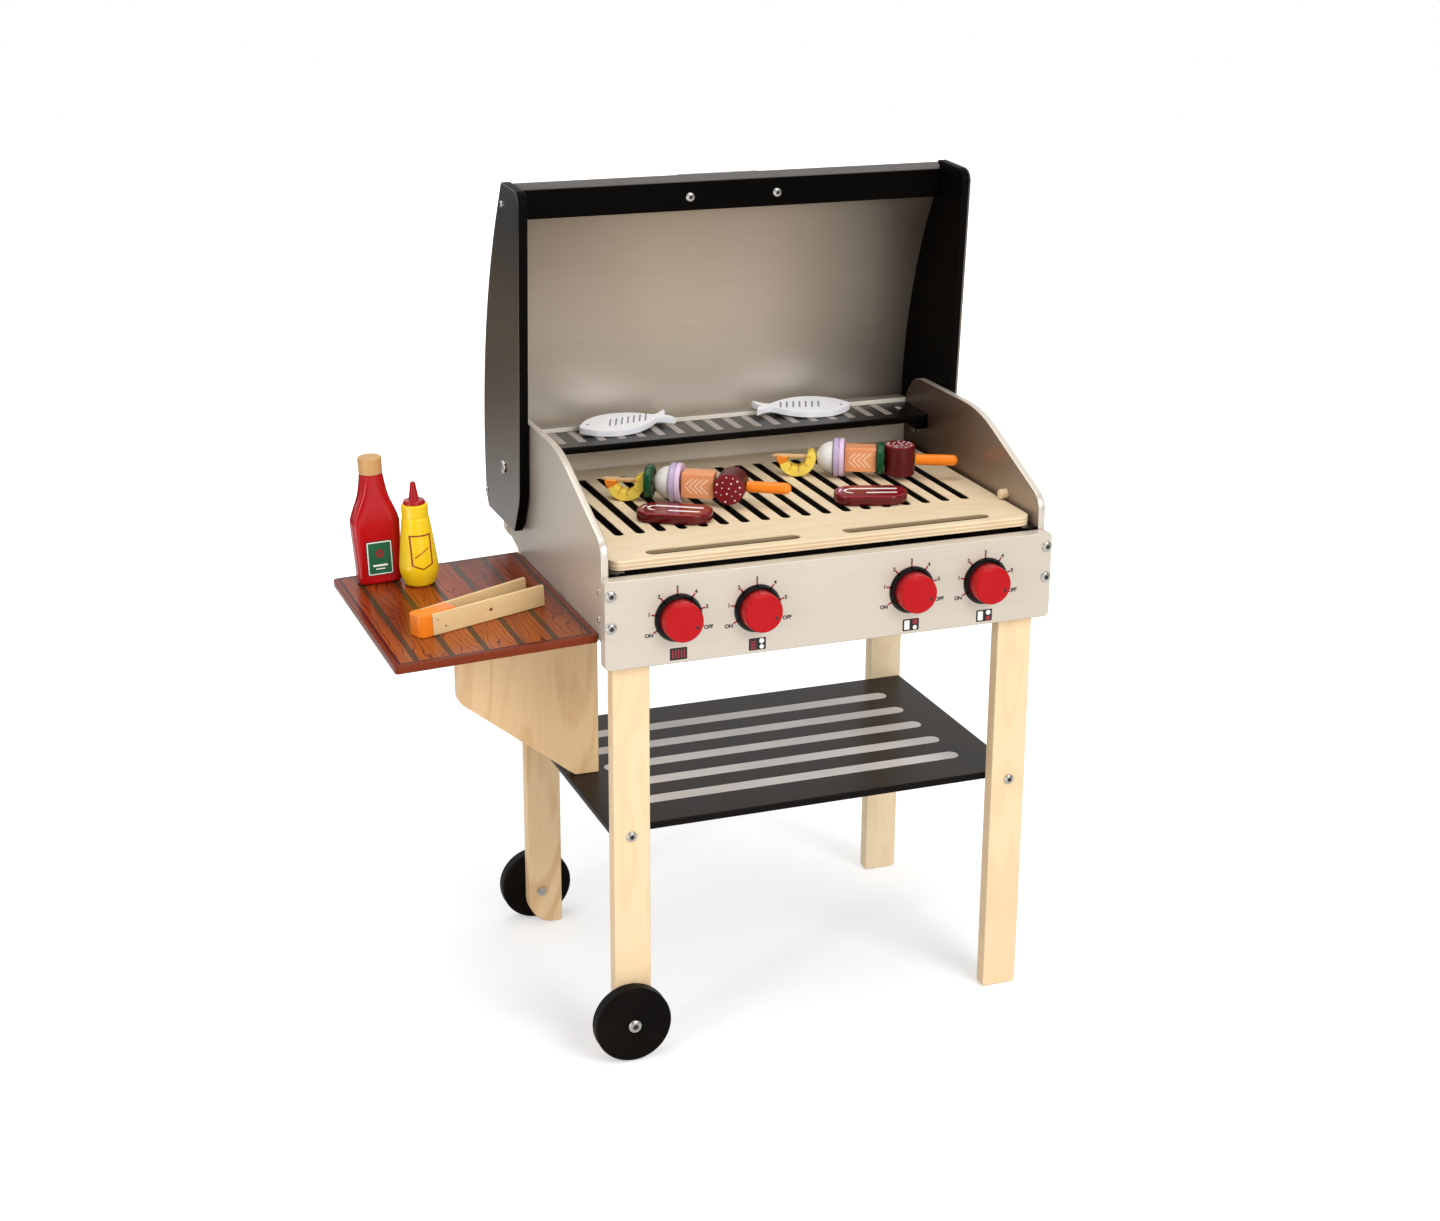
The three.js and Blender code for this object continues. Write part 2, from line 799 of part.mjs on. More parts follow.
// Skin: one sheet bent to the cheeks' back curve, set in from their edges
function hoodSkin() {
  const inner = hoodCurveRadius - skinInset;
  const top = frontRailBottom - seatGap;
  const face = hoodCurvePoints(inner, skinBottom, top, skinSteps);
  const back = hoodCurvePoints(inner + skinThickness, skinBottom, top, skinSteps).reverse();
  const outline = [...back, ...face].reverse().map(([y, z]) => new THREE.Vector2(y, z));
  const half = cheekInner - skinEndGap;
  return sideBoard(outline, 2 * half, -half, [], 0);
}

function hoodFrontRail() {
  const back = frontRailFace + frontRailThickness;
  const outline = roundedOutline([
    [frontRailFace, frontRailBottom],
    [back, frontRailBottom],
    [back, frontRailShoulder],
    [frontRailFace + frontRailCrownRun, frontRailTop],
    [frontRailFace, frontRailTop, frontRailRounding],
  ]);
  const half = cheekInner - skinEndGap;
  return sideBoard(outline, 2 * half, -half, [], 0);
}

function hoodBackRail() {
  const outer = hoodCurveRadius - skinInset + skinThickness;
  const front = hoodCurve(outer, skinBottom + backRailHeight)[0] + seatGap;
  const outline = roundedOutline(
    rectangle(front, skinBottom, front + backRailThickness, skinBottom + backRailHeight, 0),
  );
  const half = cheekInner - skinEndGap;
  return sideBoard(outline, 2 * half, -half, [], 0);
}

// Handle: a bow on two feet behind the front rail, with room for fingers under it
function hoodHandle() {
  const foot = frontRailFace + frontRailThickness + seatGap;
  const top = foot + handleStand;
  const outline = roundedOutline([
    [-handleHalfWidth, foot],
    [-handleGripHalf, foot],
    [-handleGripHalf, foot + handleGripDepth, handleRounding],
    [handleGripHalf, foot + handleGripDepth, handleRounding],
    [handleGripHalf, foot],
    [handleHalfWidth, foot],
    [handleHalfWidth, foot + handleFootHeight, handleRounding],
    [handleTopHalf, top, handleRounding],
    [-handleTopHalf, top, handleRounding],
    [-handleHalfWidth, foot + handleFootHeight, handleRounding],
  ]);
  return slab(outline, handleHeight, [], handleChamfer).translate(0, 0, handleBottom);
}

// Food is modelled along X from 0 to its length, on the skewer's axis
function foodDisc(profile) {
  const bore = skewerRadius + foodBoreGap;
  const [start, end] = [profile[0][1], profile[profile.length - 1][1]];
  return turned([[bore, start], ...profile, [bore, end], [bore, start]], foodSides).rotateZ(-Math.PI / 2);
}

function skewerBore(length) {
  const bore = skewerRadius + foodBoreGap;
  const profile = [
    [0, -cutOverrun],
    [bore, -cutOverrun],
    [bore, length + cutOverrun],
    [0, length + cutOverrun],
  ];
  return turned(profile, smallSides).rotateZ(-Math.PI / 2);
}

// Shrimp: a crescent lying below the skewer, with its head end curled up
function shrimp() {
  const points = [];
  const steps = smallSides;
  for (let step = 0; step <= steps; step += 1) {
    const angle = shrimpTailAngle + ((shrimpHeadAngle - shrimpTailAngle) * step) / steps;
    points.push(new THREE.Vector2(Math.cos(angle), Math.sin(angle)).multiplyScalar(shrimpRadius));
  }
  for (let step = steps; step >= 0; step -= 1) {
    const angle = shrimpTailAngle + ((shrimpHeadAngle - shrimpTailAngle) * step) / steps;
    points.push(new THREE.Vector2(Math.cos(angle), Math.sin(angle)).multiplyScalar(shrimpInnerRadius));
  }
  const body = slab(points, shrimpThickness, [], foodEdge)
    .rotateX(Math.PI / 2)
    .translate(shrimpRadius, shrimpThickness / 2, 0);
  return { geometry: cut(body, [skewerBore(2 * shrimpRadius)]), length: 2 * shrimpRadius };
}

function pepper() {
  const profile = [
    [pepperRadius - foodEdge, 0],
    [pepperRadius, foodEdge],
    [pepperRadius, pepperThickness - foodEdge],
    [pepperRadius - foodEdge, pepperThickness],
  ];
  return { geometry: foodDisc(profile), length: pepperThickness };
}

// Mushroom cap: a dome that rises towards the handle
function mushroom() {
  const profile = [];
  const start = Math.asin((2 * skewerRadius) / mushroomRadius);
  for (let step = 0; step <= domeSteps; step += 1) {
    const angle = start + ((Math.PI / 2 - start) * step) / domeSteps;
    profile.push([mushroomRadius * Math.sin(angle), mushroomHeight * (1 - Math.cos(angle))]);
  }
  return { geometry: foodDisc(profile), length: mushroomHeight };
}

// Onion slice: two rings with a groove between them
function onion() {
  const middle = onionThickness / 2;
  const profile = [
    [onionRadius - foodEdge, 0],
    [onionRadius, foodEdge],
    [onionRadius, middle - foodEdge],
    [onionRadius - onionGroove, middle],
    [onionRadius, middle + foodEdge],
    [onionRadius, onionThickness - foodEdge],
    [onionRadius - foodEdge, onionThickness],
  ];
  return { geometry: foodDisc(profile), length: onionThickness };
}

function salmon() {
  const outline = roundedOutline(
    rectangle(-salmonDepth / 2, -salmonHeight / 2, salmonDepth / 2, salmonHeight / 2, salmonCorner),
  );
  const bore = circle(0, 0, skewerRadius + foodBoreGap);
  return { geometry: sideBoard(outline, salmonLength, 0, [bore], foodEdge), length: salmonLength };
}

// Sausage slice: a short cylinder that the skewer crosses, rolled about the skewer
function sausage(roll) {
  const half = sausageLength / 2;
  const profile = [
    [0, -half],
    [sausageRadius - foodEdge, -half],
    [sausageRadius, foodEdge - half],
    [sausageRadius, half - foodEdge],
    [sausageRadius - foodEdge, half],
    [0, half],
  ];
  const body = turned(profile, foodSides).rotateX(Math.PI / 2 - roll).translate(sausageRadius, 0, 0);
  return { geometry: cut(body, [skewerBore(2 * sausageRadius)]), length: 2 * sausageRadius };
}

// Skewer with a point at its tip and a round-ended handle behind the food
function skewer(handleStart) {
  const handleEnd = handleStart + skewerHandleLength;
  const profile = [
    [0, 0],
    [skewerPointRadius, 0],
    [skewerRadius, skewerTipLength],
    [skewerRadius, handleStart],
    [skewerHandleRadius, handleStart],
    [skewerHandleRadius, handleEnd - skewerHandleRadius],
  ];
  for (let step = 1; step <= 4; step += 1) {
    const angle = (step * Math.PI) / 8;
    const radius = step === 4 ? 0 : skewerHandleRadius * Math.cos(angle);
    profile.push([radius, handleEnd - skewerHandleRadius * (1 - Math.sin(angle))]);
  }
  return turned(profile, smallSides).rotateZ(-Math.PI / 2);
}

function addKebab(number, { tip, turn, sausageRoll, foods }) {
  const kebab = new THREE.Group();
  kebab.position.set(tip.right, rackFront - tip.ahead, kebabAxis);
  kebab.rotation.z = turn;
  grateGroup.add(kebab);
  const makers = {
    shrimp: [shrimp, 'shrimp'],
    pepper: [pepper, 'green'],
    mushroom: [mushroom, 'white'],
    onion: [onion, 'lilac'],
    salmon: [salmon, 'salmon'],
    sausage: [() => sausage(sausageRoll), 'meat'],
  };
  let reached = skewerTipLength;
  foods.forEach((food) => {
    const [make, finish] = makers[food];
    const { geometry, length } = make();
    const mesh = add(`kebab_${number}_${food}`, geometry, finish, kebab);
    mesh.position.x = reached;
    reached += length + foodGap;
  });
  add(`kebab_${number}_skewer`, skewer(reached), 'orange', kebab);
}

function steak() {
  const [halfLength, halfWidth] = [steakLength / 2, steakWidth / 2];
  const outline = roundedOutline([
    [-halfLength, -halfWidth, steakSmallRadius],
    [halfLength, -halfWidth, steakLargeRadius],
    [halfLength, halfWidth, steakSmallRadius],
    [-halfLength, halfWidth, steakLargeRadius],
  ]);
  return slab(outline, steakThickness, [], steakChamfer);
}

// Fish: a leaf-shaped body with a forked tail, its head towards -X
function fishBoard() {
  const half = fishWidth / 2;
  const tailHalf = fishTailWidth / 2;
  const alongShares = [-0.5, -0.47, -0.36, -0.2, 0, 0.18, 0.33];
  const widthShares = [0, 0.22, 0.66, 0.95, 0.96, 0.66, 0];
  const upper = alongShares.map((share, index) => {
    const neck = index === alongShares.length - 1 ? fishTailNeck / 2 : 0;
    return new THREE.Vector2(share * fishLength, widthShares[index] * half + neck);
  });
  const edge = new THREE.SplineCurve(upper).getPoints(smallSides);
  const tip = fishLength / 2;
  const fork = tip - fishTailNeck;
  const tail = [
    new THREE.Vector2(tip, tailHalf),
    new THREE.Vector2(fork, 0),
    new THREE.Vector2(tip, -tailHalf),
  ];
  const lower = edge.slice(1).reverse().map((point) => new THREE.Vector2(point.x, -point.y));
  const outline = [...edge, ...tail, ...lower].reverse();
  return slab(outline, fishThickness, [], fishChamfer);
}

// The fish lie on a plane from the rack's top to the back panel's top edge
function addFish() {
  const climb = Math.atan2(backPanelTop - rackTop, backPanelFront - fishSetBack);
  rackGroup.position.set(0, fishSetBack, rackTop + seatGap);
  rackGroup.rotation.x = climb;
  fish.forEach(({ x, rise, turn, facing }, index) => {
    const mesh = add(`fish_${index + 1}`, fishBoard(), 'white', rackGroup);
    mesh.position.set(x, rise, 0);
    mesh.rotation.z = facing > 0 ? turn : turn + Math.PI;
  });
}

// Ring of a bottle's section: square-cornered as power grows, round at 2
function bottleRing(halfWidth, halfDepth, level, power) {
  const ring = [];
  for (let side = 0; side < turnedSides; side += 1) {
    const angle = (2 * Math.PI * side) / turnedSides;
    const [across, along] = [Math.cos(angle), Math.sin(angle)];
    const x = halfWidth * Math.sign(across) * Math.abs(across) ** (2 / power);
    const y = halfDepth * Math.sign(along) * Math.abs(along) ** (2 / power);
    ring.push(new THREE.Vector3(x, y, level));
  }
  return ring;
}

// Closed body through a stack of rings
function loft(rings) {
  const places = rings.flat();
  const count = rings[0].length;
  const faces = [];
  for (let layer = 0; layer < rings.length - 1; layer += 1) {
    for (let side = 0; side < count; side += 1) {
      const next = (side + 1) % count;
      const [a, b] = [layer * count + side, layer * count + next];
      faces.push([a, b, b + count], [a, b + count, a + count]);
    }
  }
  const last = (rings.length - 1) * count;
  for (let side = 1; side < count - 1; side += 1) {
    faces.push([0, side + 1, side], [last, last + side, last + side + 1]);
  }
  const geometry = new THREE.BufferGeometry().setFromPoints(places);
  geometry.setIndex(faces.flat());
  return geometry;
}

// Ketchup bottle: flat body, sloping shoulders, a long neck and a round cap of bare wood
function ketchupBottle() {
  const size = ketchup;
  const squareness = 5;
  const rings = [
    bottleRing(size.baseHalfWidth, size.halfDepth, 0, squareness),
    bottleRing(size.shoulderHalfWidth, size.halfDepth, size.shoulderLevel, squareness),
    bottleRing(size.slopeHalfWidth, size.halfDepth, size.slopeLevel, squareness - 1),
    bottleRing(size.neckHalfWidth, size.halfDepth, size.neckLevel, squareness / 2),
    bottleRing(size.capRadius, size.capRadius, size.capLevel, 2),
    bottleRing(size.capRadius, size.capRadius, size.capTop - size.capRounding, 2),
    bottleRing(size.capRadius - size.capRounding, size.capRadius - size.capRounding, size.capTop, 2),
  ];
  return loft(rings);
}

function mustardBottle() {
  const size = mustard;
  const profile = [
    [0, 0],
    [size.baseRadius, 0],
    [size.baseRadius + size.baseEdge, size.baseEdge],
    [size.bellyRadius, size.bellyLevel],
    [size.bellyRadius, size.bellyLevel + size.baseEdge],
    [size.shoulderRadius, size.shoulderLevel],
    [size.collarRadius, size.shoulderLevel + size.baseEdge / 2],
    [size.collarRadius, size.collarTop],
    [size.capRadius, size.collarTop],
    [size.capRadius, size.capTop],
    [size.nozzleRadius, size.capTop],
    [size.nozzleTipRadius, size.nozzleTop - size.nozzleTipRadius],
    [size.nozzleTipRadius / 2, size.nozzleTop],
    [0, size.nozzleTop],
  ];
  return turned(profile).rotateX(Math.PI / 2);
}

// Width of the tongs' block at the given distance ahead of the arms' back ends
function tongsHalfWidth(ahead) {
  return tongs.blockHalfWidth + ahead * Math.tan(tongs.splay);
}

// Block between the arms: round behind, with a step that each arm butts against
function tongsBlock() {
  const step = tongs.armThickness + seatGap;
  const back = -tongs.blockBack;
  const outline = roundedOutline([
    [back, -tongsHalfWidth(0) - step, tongs.blockRadius],
    [0, -tongsHalfWidth(0) - step],
    [0, -tongsHalfWidth(0)],
    [tongs.blockFront, -tongsHalfWidth(tongs.blockFront)],
    [tongs.blockFront, tongsHalfWidth(tongs.blockFront)],
    [0, tongsHalfWidth(0)],
    [0, tongsHalfWidth(0) + step],
    [back, tongsHalfWidth(0) + step, tongs.blockRadius],
  ]);
  return slab(outline, tongs.blockHeight);
}

function tongsArm(side) {
  const outline = roundedOutline(
    rectangle(seatGap, seatGap, tongs.armLength, tongs.armThickness + seatGap, 0),
  );
  const arm = slab(outline, tongs.armHeight, [], edgeChamfer / 2);
  if (side < 0) arm.rotateX(Math.PI).translate(0, 0, tongs.armHeight);
  return arm.rotateZ(side * tongs.splay).translate(0, side * tongsHalfWidth(0), 0);
}

function addTableThings() {
  const tableBack = tableFront + tableDepth;
  const bottleOne = add('ketchup_bottle', ketchupBottle(), 'red', tableGroup);
  bottleOne.position.set(ketchup.x, tableBack - ketchup.ahead, seatGap);
  const bottleTwo = add('mustard_bottle', mustardBottle(), 'yellow', tableGroup);
  bottleTwo.position.set(mustard.x, tableBack - mustard.ahead, seatGap);
  const tongsGroup = new THREE.Group();
  tongsGroup.position.set(tongs.x, tableFront + tongs.behind, seatGap);
  tongsGroup.rotation.z = tongs.turn;
  tableGroup.add(tongsGroup);
  add('tongs_block', tongsBlock(), 'orange', tongsGroup);
  add('tongs_front_arm', tongsArm(-1), 'birch', tongsGroup);
  add('tongs_back_arm', tongsArm(1), 'birch', tongsGroup);
}

function addFirebox() {
  add('control_panel', controlPanel(), 'silver');
  add('back_panel', backPanel(), 'silver');
  add('left_side_panel', sidePanel(-sideOuter), 'silver');
  add('right_side_panel', sidePanel(sideInner), 'silver');
  add('firebox_tray', fireboxTray(), 'black');
  add('grate_rail_left', grateRail(-1), 'black');
  add('grate_rail_right', grateRail(1), 'black');
  add('grate_peg_left', gratePeg(-1), 'birch');
  add('grate_peg_right', gratePeg(1), 'birch');
  add('warming_rack', warmingRack(), 'black');
  add('rack_cleat_left', rackCleat(-1), 'black');
  add('rack_cleat_right', rackCleat(1), 'black');
}

function addStand() {
  add('leg_front_left', leg(-1, boxFront), 'birch');
  add('leg_front_right', leg(1, boxFront), 'birch');
  add('leg_back_left', leg(-1, legBackFront), 'birch');
  add('leg_back_right', leg(1, legBackFront), 'birch');
  add('lower_shelf', lowerShelf(), 'black');
  add('side_table_bracket', tableBracket(), 'birch');
  add('side_table', sideTable(), 'table', tableGroup);
}

function addWheels() {
  const frontFace = wheelFrontInner - wheelWidth;
  const frontShank = boxFront + legThickness - frontFace + seatGap;
  const backShank = wheelBackInner + wheelWidth - legBackFront + seatGap;
  add('wheel_front', wheel(frontFace), 'black');
  add('wheel_back', wheel(wheelBackInner), 'black');
  add('axle_bolt_front', axleBolt(frontFace - seatGap, frontShank), 'screw');
  add('axle_bolt_back', axleBolt(legBackFront - seatGap, backShank), 'screw');
}

function addHood() {
  add('hood_left_cheek', hoodCheek(-cheekOuter), 'black', hood);
  add('hood_right_cheek', hoodCheek(cheekInner), 'black', hood);
  add('hood_skin', hoodSkin(), 'steel', hood);
  add('hood_front_rail', hoodFrontRail(), 'black', hood);
  add('hood_back_rail', hoodBackRail(), 'black', hood);
  add('hood_handle', hoodHandle(), 'black', hood);
  add('hood_hinge_bolt_left', hingeBolt(-1), 'screw');
  add('hood_hinge_bolt_right', hingeBolt(1), 'screw');
}

function addGrateAndFood() {
  add('cooking_grate', cookingGrate(), 'birch', grateGroup);
  kebabs.forEach((kebab, index) => addKebab(index + 1, kebab));
  steaks.forEach(({ right, ahead, turn }, index) => {
    const mesh = add(`steak_${index + 1}`, steak(), 'meat', grateGroup);
    mesh.position.set(right, rackFront - ahead, seatGap);
    mesh.rotation.z = turn;
  });
}

addFirebox();
addStand();
addWheels();
addHood();
knobCentres().forEach((x, index) => add(`knob_${index + 1}`, knob(x), 'red'));
addGrateAndFood();
addFish();
addTableThings();

// The origin is on the floor, under the middle of the whole grill
const extent = new THREE.Box3().setFromObject(grill);
const middle = extent.getCenter(new THREE.Vector3());
grill.position.set(-middle.x, -middle.y, -extent.min.z);

export default grill;
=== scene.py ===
# %% [markdown]
# # A wooden toy barbecue grill
# The real thing is a set of painted and bare birch boards screwed together, with turned knobs and
# wheels and a box of wooden play food. The sizes and the joints come from the packed model, which
# is loaded as a fixed frame. This script gives every board and every piece of food its finish, and
# swaps the plain solids for smoother meshes that fill the same space.

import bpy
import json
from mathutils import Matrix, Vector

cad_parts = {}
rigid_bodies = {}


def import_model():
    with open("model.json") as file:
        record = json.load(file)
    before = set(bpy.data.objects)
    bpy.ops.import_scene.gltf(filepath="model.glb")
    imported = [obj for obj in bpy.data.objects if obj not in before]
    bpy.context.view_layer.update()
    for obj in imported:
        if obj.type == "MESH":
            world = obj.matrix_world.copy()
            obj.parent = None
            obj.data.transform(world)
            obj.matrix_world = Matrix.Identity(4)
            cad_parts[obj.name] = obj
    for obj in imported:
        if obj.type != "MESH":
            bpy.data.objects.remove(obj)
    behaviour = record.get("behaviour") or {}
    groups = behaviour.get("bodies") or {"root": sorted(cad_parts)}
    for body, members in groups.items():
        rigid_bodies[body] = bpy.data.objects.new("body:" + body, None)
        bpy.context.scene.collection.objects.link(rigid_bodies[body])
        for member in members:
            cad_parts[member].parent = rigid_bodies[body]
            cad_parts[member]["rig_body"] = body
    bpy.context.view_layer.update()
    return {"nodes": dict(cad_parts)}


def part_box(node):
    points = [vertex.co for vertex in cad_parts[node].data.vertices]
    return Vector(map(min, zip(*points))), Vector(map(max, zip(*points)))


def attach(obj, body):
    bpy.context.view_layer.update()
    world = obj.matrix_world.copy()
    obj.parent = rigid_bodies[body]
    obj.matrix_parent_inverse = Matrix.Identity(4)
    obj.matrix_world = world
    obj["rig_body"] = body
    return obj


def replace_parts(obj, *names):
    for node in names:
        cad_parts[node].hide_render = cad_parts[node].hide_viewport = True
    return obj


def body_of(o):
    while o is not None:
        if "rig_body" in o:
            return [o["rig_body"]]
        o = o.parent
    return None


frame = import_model()

import json
import math

import bmesh
import bpy
from mathutils import Matrix, Vector

MM = 0.001
panel_low, panel_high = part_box("control_panel")
PANEL_MIDDLE = (panel_low.x + panel_high.x) / 2
PANEL_FRONT = panel_low.y


def at(right, back, up):
    """A place in metres from millimetres to the right of the panel's middle, behind it and up."""
    return Vector((PANEL_MIDDLE + right * MM, PANEL_FRONT + back * MM, up * MM))


print("control panel", round(panel_high.x - panel_low.x, 4), "m wide")

# %% [markdown]
# ## New objects
# A camera, a lamp or a slice of food shows only once it is linked to the scene. Shapes are built in
# a bmesh, which is Blender's editable mesh, and become a piece when they are finished. Turns are
# written in degrees.


# %% New objects
def link(name, data):
    made = bpy.data.objects.new(name, data)
    bpy.context.scene.collection.objects.link(made)
    return made


def built(name, shape):
    """A piece from a finished bmesh."""
    mesh = bpy.data.meshes.new(name)
    shape.to_mesh(mesh)
    shape.free()
    return link(name, mesh)


def rotation(degrees, axis):
    return Matrix.Rotation(math.radians(degrees), 4, axis)


# %% [markdown]
# ## Camera
# The photograph was taken from the front left, a little above the grill. The camera was solved
# from the edges of the boards: where it stands, how it is turned, and its focal length. Blender
# turns a camera about its own axes, so the turn is a swing about the upright axis, a tip from
# straight down, and a small roll.

# %% Camera
camera_data = bpy.data.cameras.new("camera")
camera_data.sensor_width = 36
camera_data.lens = 59.05
camera_data.shift_x = -0.0142
camera_data.shift_y = -0.0320
camera_data.clip_end = 50
camera = link("camera", camera_data)
swing, look_down, roll = -21.28, 18.05, 0.44
turned = rotation(swing, "Z") @ rotation(90 - look_down, "X") @ rotation(roll, "Z")
camera.matrix_world = Matrix.Translation((-0.66565, -1.84435, 1.0238)) @ turned
bpy.context.scene.camera = camera
bpy.context.scene.view_settings.view_transform = "Standard"
print("camera", [round(value, 3) for value in camera.matrix_world.translation])

# %% [markdown]
# ## Sums with sockets
# A pattern such as a stripe is a sum on the coordinates of a point. Wiring Math nodes by hand is
# slow to read, so a small class wraps a socket and turns Python's operators into Math nodes. The
# same class serves the finishes and the geometry recipes.


# %% Values
class Value:
    """The output of a node, which can stand in a Python sum."""

    def __init__(self, graph, socket):
        self.graph = graph
        self.socket = socket

    def math(self, operation, *others):
        terms = dict(enumerate([self, *others]))
        return self.graph.node("ShaderNodeMath", {"operation": operation}, terms)

    def flipped(self, operation, other):
        return self.graph.node("ShaderNodeMath", {"operation": operation}, {0: other, 1: self})

    def __add__(self, other):
        return self.math("ADD", other)

    def __sub__(self, other):
        return self.math("SUBTRACT", other)

    def __rsub__(self, other):
        return self.flipped("SUBTRACT", other)

    def __mul__(self, other):
        return self.math("MULTIPLY", other)

    def __truediv__(self, other):
        return self.math("DIVIDE", other)

    def __mod__(self, other):
        return self.math("FLOORED_MODULO", other)

    def __abs__(self):
        return self.math("ABSOLUTE")

    __radd__ = __add__
    __rmul__ = __mul__

    def ramp(self, start, end):
        """0 before start, 1 after end and a smooth step between them."""
        return self.graph.node(
            "ShaderNodeMapRange",
            {"interpolation_type": "SMOOTHSTEP"},
            {"Value": self, "From Min": start, "From Max": end},
        )

    def within(self, half, soft):
        """1 where the value is nearer to zero than half, with a soft edge."""
        return 1 - abs(self).ramp(half - soft, half + soft)


print("operators", [name for name in vars(Value) if name.startswith("__r")])

# %% [markdown]
# ## Node trees
# Every node of every tree comes from one method, which sets the node's own settings first and then
# its sockets. A socket takes a plain value, a link or, where it joins things, a list of links.
# Colours are given as on a paint chart, and turned into the linear values that light adds up in.


# %% Graphs and paint codes
class Graph:
    """A node tree whose nodes all come from one method."""

    def __init__(self, tree):
        self.tree = tree

    def node(self, kind, settings=None, sockets=None, output=0):
        made = self.tree.nodes.new(kind)
        for name, value in (settings or {}).items():
            setattr(made, name, value)
        for key, value in (sockets or {}).items():
            for one in value if isinstance(value, list) else [value]:
                if isinstance(one, Value):
                    self.tree.links.new(one.socket, made.inputs[key])
                else:
                    made.inputs[key].default_value = one
        return Value(self, made.outputs[output]) if made.outputs else None

    def vector(self, x=0, y=0, z=0):
        return self.node("ShaderNodeCombineXYZ", None, {0: x, 1: y, 2: z})


def paint(code):
    """A linear colour from a hex code as a paint chart gives it."""
    shares = [int(code[i : i + 2], 16) / 255 for i in (1, 3, 5)]
    linear = [s / 12.92 if s <= 0.04045 else ((s + 0.055) / 1.055) ** 2.4 for s in shares]
    return (*linear, 1)


print("middle grey", [round(share, 3) for share in paint("#808080")])

# %% [markdown]
# ## A finish
# Every material starts the same way: the place of a point on the piece. A piece that lies askew,
# such as a kebab, reads its place in its own millimetre axes, so that a stripe runs along the food
# and not along the room. Each finish ends in one Principled shader. Tints are laid over each other
# as a decorator does it, with a mask that says where each one goes.


# %% The finish class
class Finish(Graph):
    """A material whose place is read in metres, or in the millimetre axes of a piece."""

    def __init__(self, name, axes=None):
        self.material = bpy.data.materials.new(name)
        self.material.use_nodes = True
        super().__init__(self.material.node_tree)
        self.tree.nodes.clear()
        place = self.node("ShaderNodeTexCoord", output="Object")
        if axes:
            centre, turn, size = axes.decompose()
            place = self.node(
                "ShaderNodeMapping",
                {"vector_type": "TEXTURE"},
                {"Vector": place, "Location": centre, "Rotation": turn.to_euler(), "Scale": size},
            )
        self.place = place
        self.x, self.y, self.z = (
            self.node("ShaderNodeSeparateXYZ", None, {0: place}, output=axis) for axis in "XYZ"
        )

    def noise(self, grains, detail=2, roughness=0.5, distortion=0):
        """Soft noise from 0 to 1, with so many grains in a unit, or along each of X, Y and Z."""
        grains = grains if isinstance(grains, tuple) else (grains,) * 3
        place = self.node("ShaderNodeMapping", None, {"Vector": self.place, "Scale": grains})
        sockets = {"Vector": place, "Scale": 1, "Detail": detail, "Roughness": roughness}
        return self.node("ShaderNodeTexNoise", None, {**sockets, "Distortion": distortion})

    def mix(self, share, *colours):
        """The first colour or code where the share is 0 and the second where it is 1."""
        first, second = (paint(one) if isinstance(one, str) else one for one in colours)
        sockets = {0: share, 6: first, 7: second}
        return self.node("ShaderNodeMix", {"data_type": "RGBA"}, sockets, output=2)

    def over(self, colour, *tints):
        """A colour with tints laid over it, each given as where it goes and its code."""
        for share, code in tints:
            colour = self.mix(share, colour, code)
        return colour

    def distance(self, across, up):
        """How far a point lies from an axis, from its distances along two others."""
        return (across * across + up * up).math("SQRT")

    def faces(self, axis):
        """How far a surface faces along an axis, from -1 to 1."""
        normal = self.node("ShaderNodeNewGeometry", output="Normal")
        return self.node("ShaderNodeSeparateXYZ", None, {0: normal}, output=axis)

    def streak(self, across, along, half, radius, soft=0.2):
        """1 inside a round-ended line along the second value, and 0 outside it."""
        beyond = (abs(along) - half).math("MAXIMUM", 0)
        return 1 - self.distance(beyond, across).ramp(radius - soft, radius + soft)

    def shade(self, colour, roughness, bump=None, metallic=0, level=0.5, **more):
        """One Principled shader; bump is a height and how deep it goes, level the mirror's."""
        sockets = {"Base Color": colour, "Roughness": roughness, "Metallic": metallic}
        sockets["Specular IOR Level"] = level
        sockets.update({name.replace("_", " "): value for name, value in more.items()})
        if bump:
            height, depth = bump
            relief = {"Height": height, "Distance": depth, "Strength": 1}
            sockets["Normal"] = self.node("ShaderNodeBump", None, relief)
        shader = self.node("ShaderNodeBsdfPrincipled", None, sockets)
        self.node("ShaderNodeOutputMaterial", None, {"Surface": shader})
        return self.material


print("a finish has", [name for name in vars(Finish) if not name.startswith("__")])

# %% [markdown]
# ## Studio
# The grill stands in soft light. The camera sees pure white behind it, and so do glossy surfaces.
# That white lights the boards at a lower level, and in front of the grill, where a studio is dark,
# the paint mirrors a dim room.

# %% World
world = bpy.data.worlds.new("studio")
bpy.context.scene.world = world
world.use_nodes = True
sky = Graph(world.node_tree)
sky.tree.nodes.clear()
SKY_LEVEL = 0.56
ROOM_LEVEL = 0.05
direction = sky.node("ShaderNodeTexCoord", output="Generated")
toward = sky.node("ShaderNodeSeparateXYZ", None, {0: direction}, output="Y")
camera_ray = sky.node("ShaderNodeLightPath", output="Is Camera Ray")
glossy_ray = sky.node("ShaderNodeLightPath", output="Is Glossy Ray")
through_ray = sky.node("ShaderNodeLightPath", output="Is Transmission Ray")
white = camera_ray.math("MAXIMUM", through_ray)
mirrored = toward.ramp(-0.55, 0.1) * (1 - ROOM_LEVEL) + ROOM_LEVEL
lit = (1 - glossy_ray) * SKY_LEVEL + glossy_ray * mirrored
level = white + (1 - white) * lit
backdrop = sky.node("ShaderNodeBackground", None, {"Color": (1, 1, 1, 1), "Strength": level})
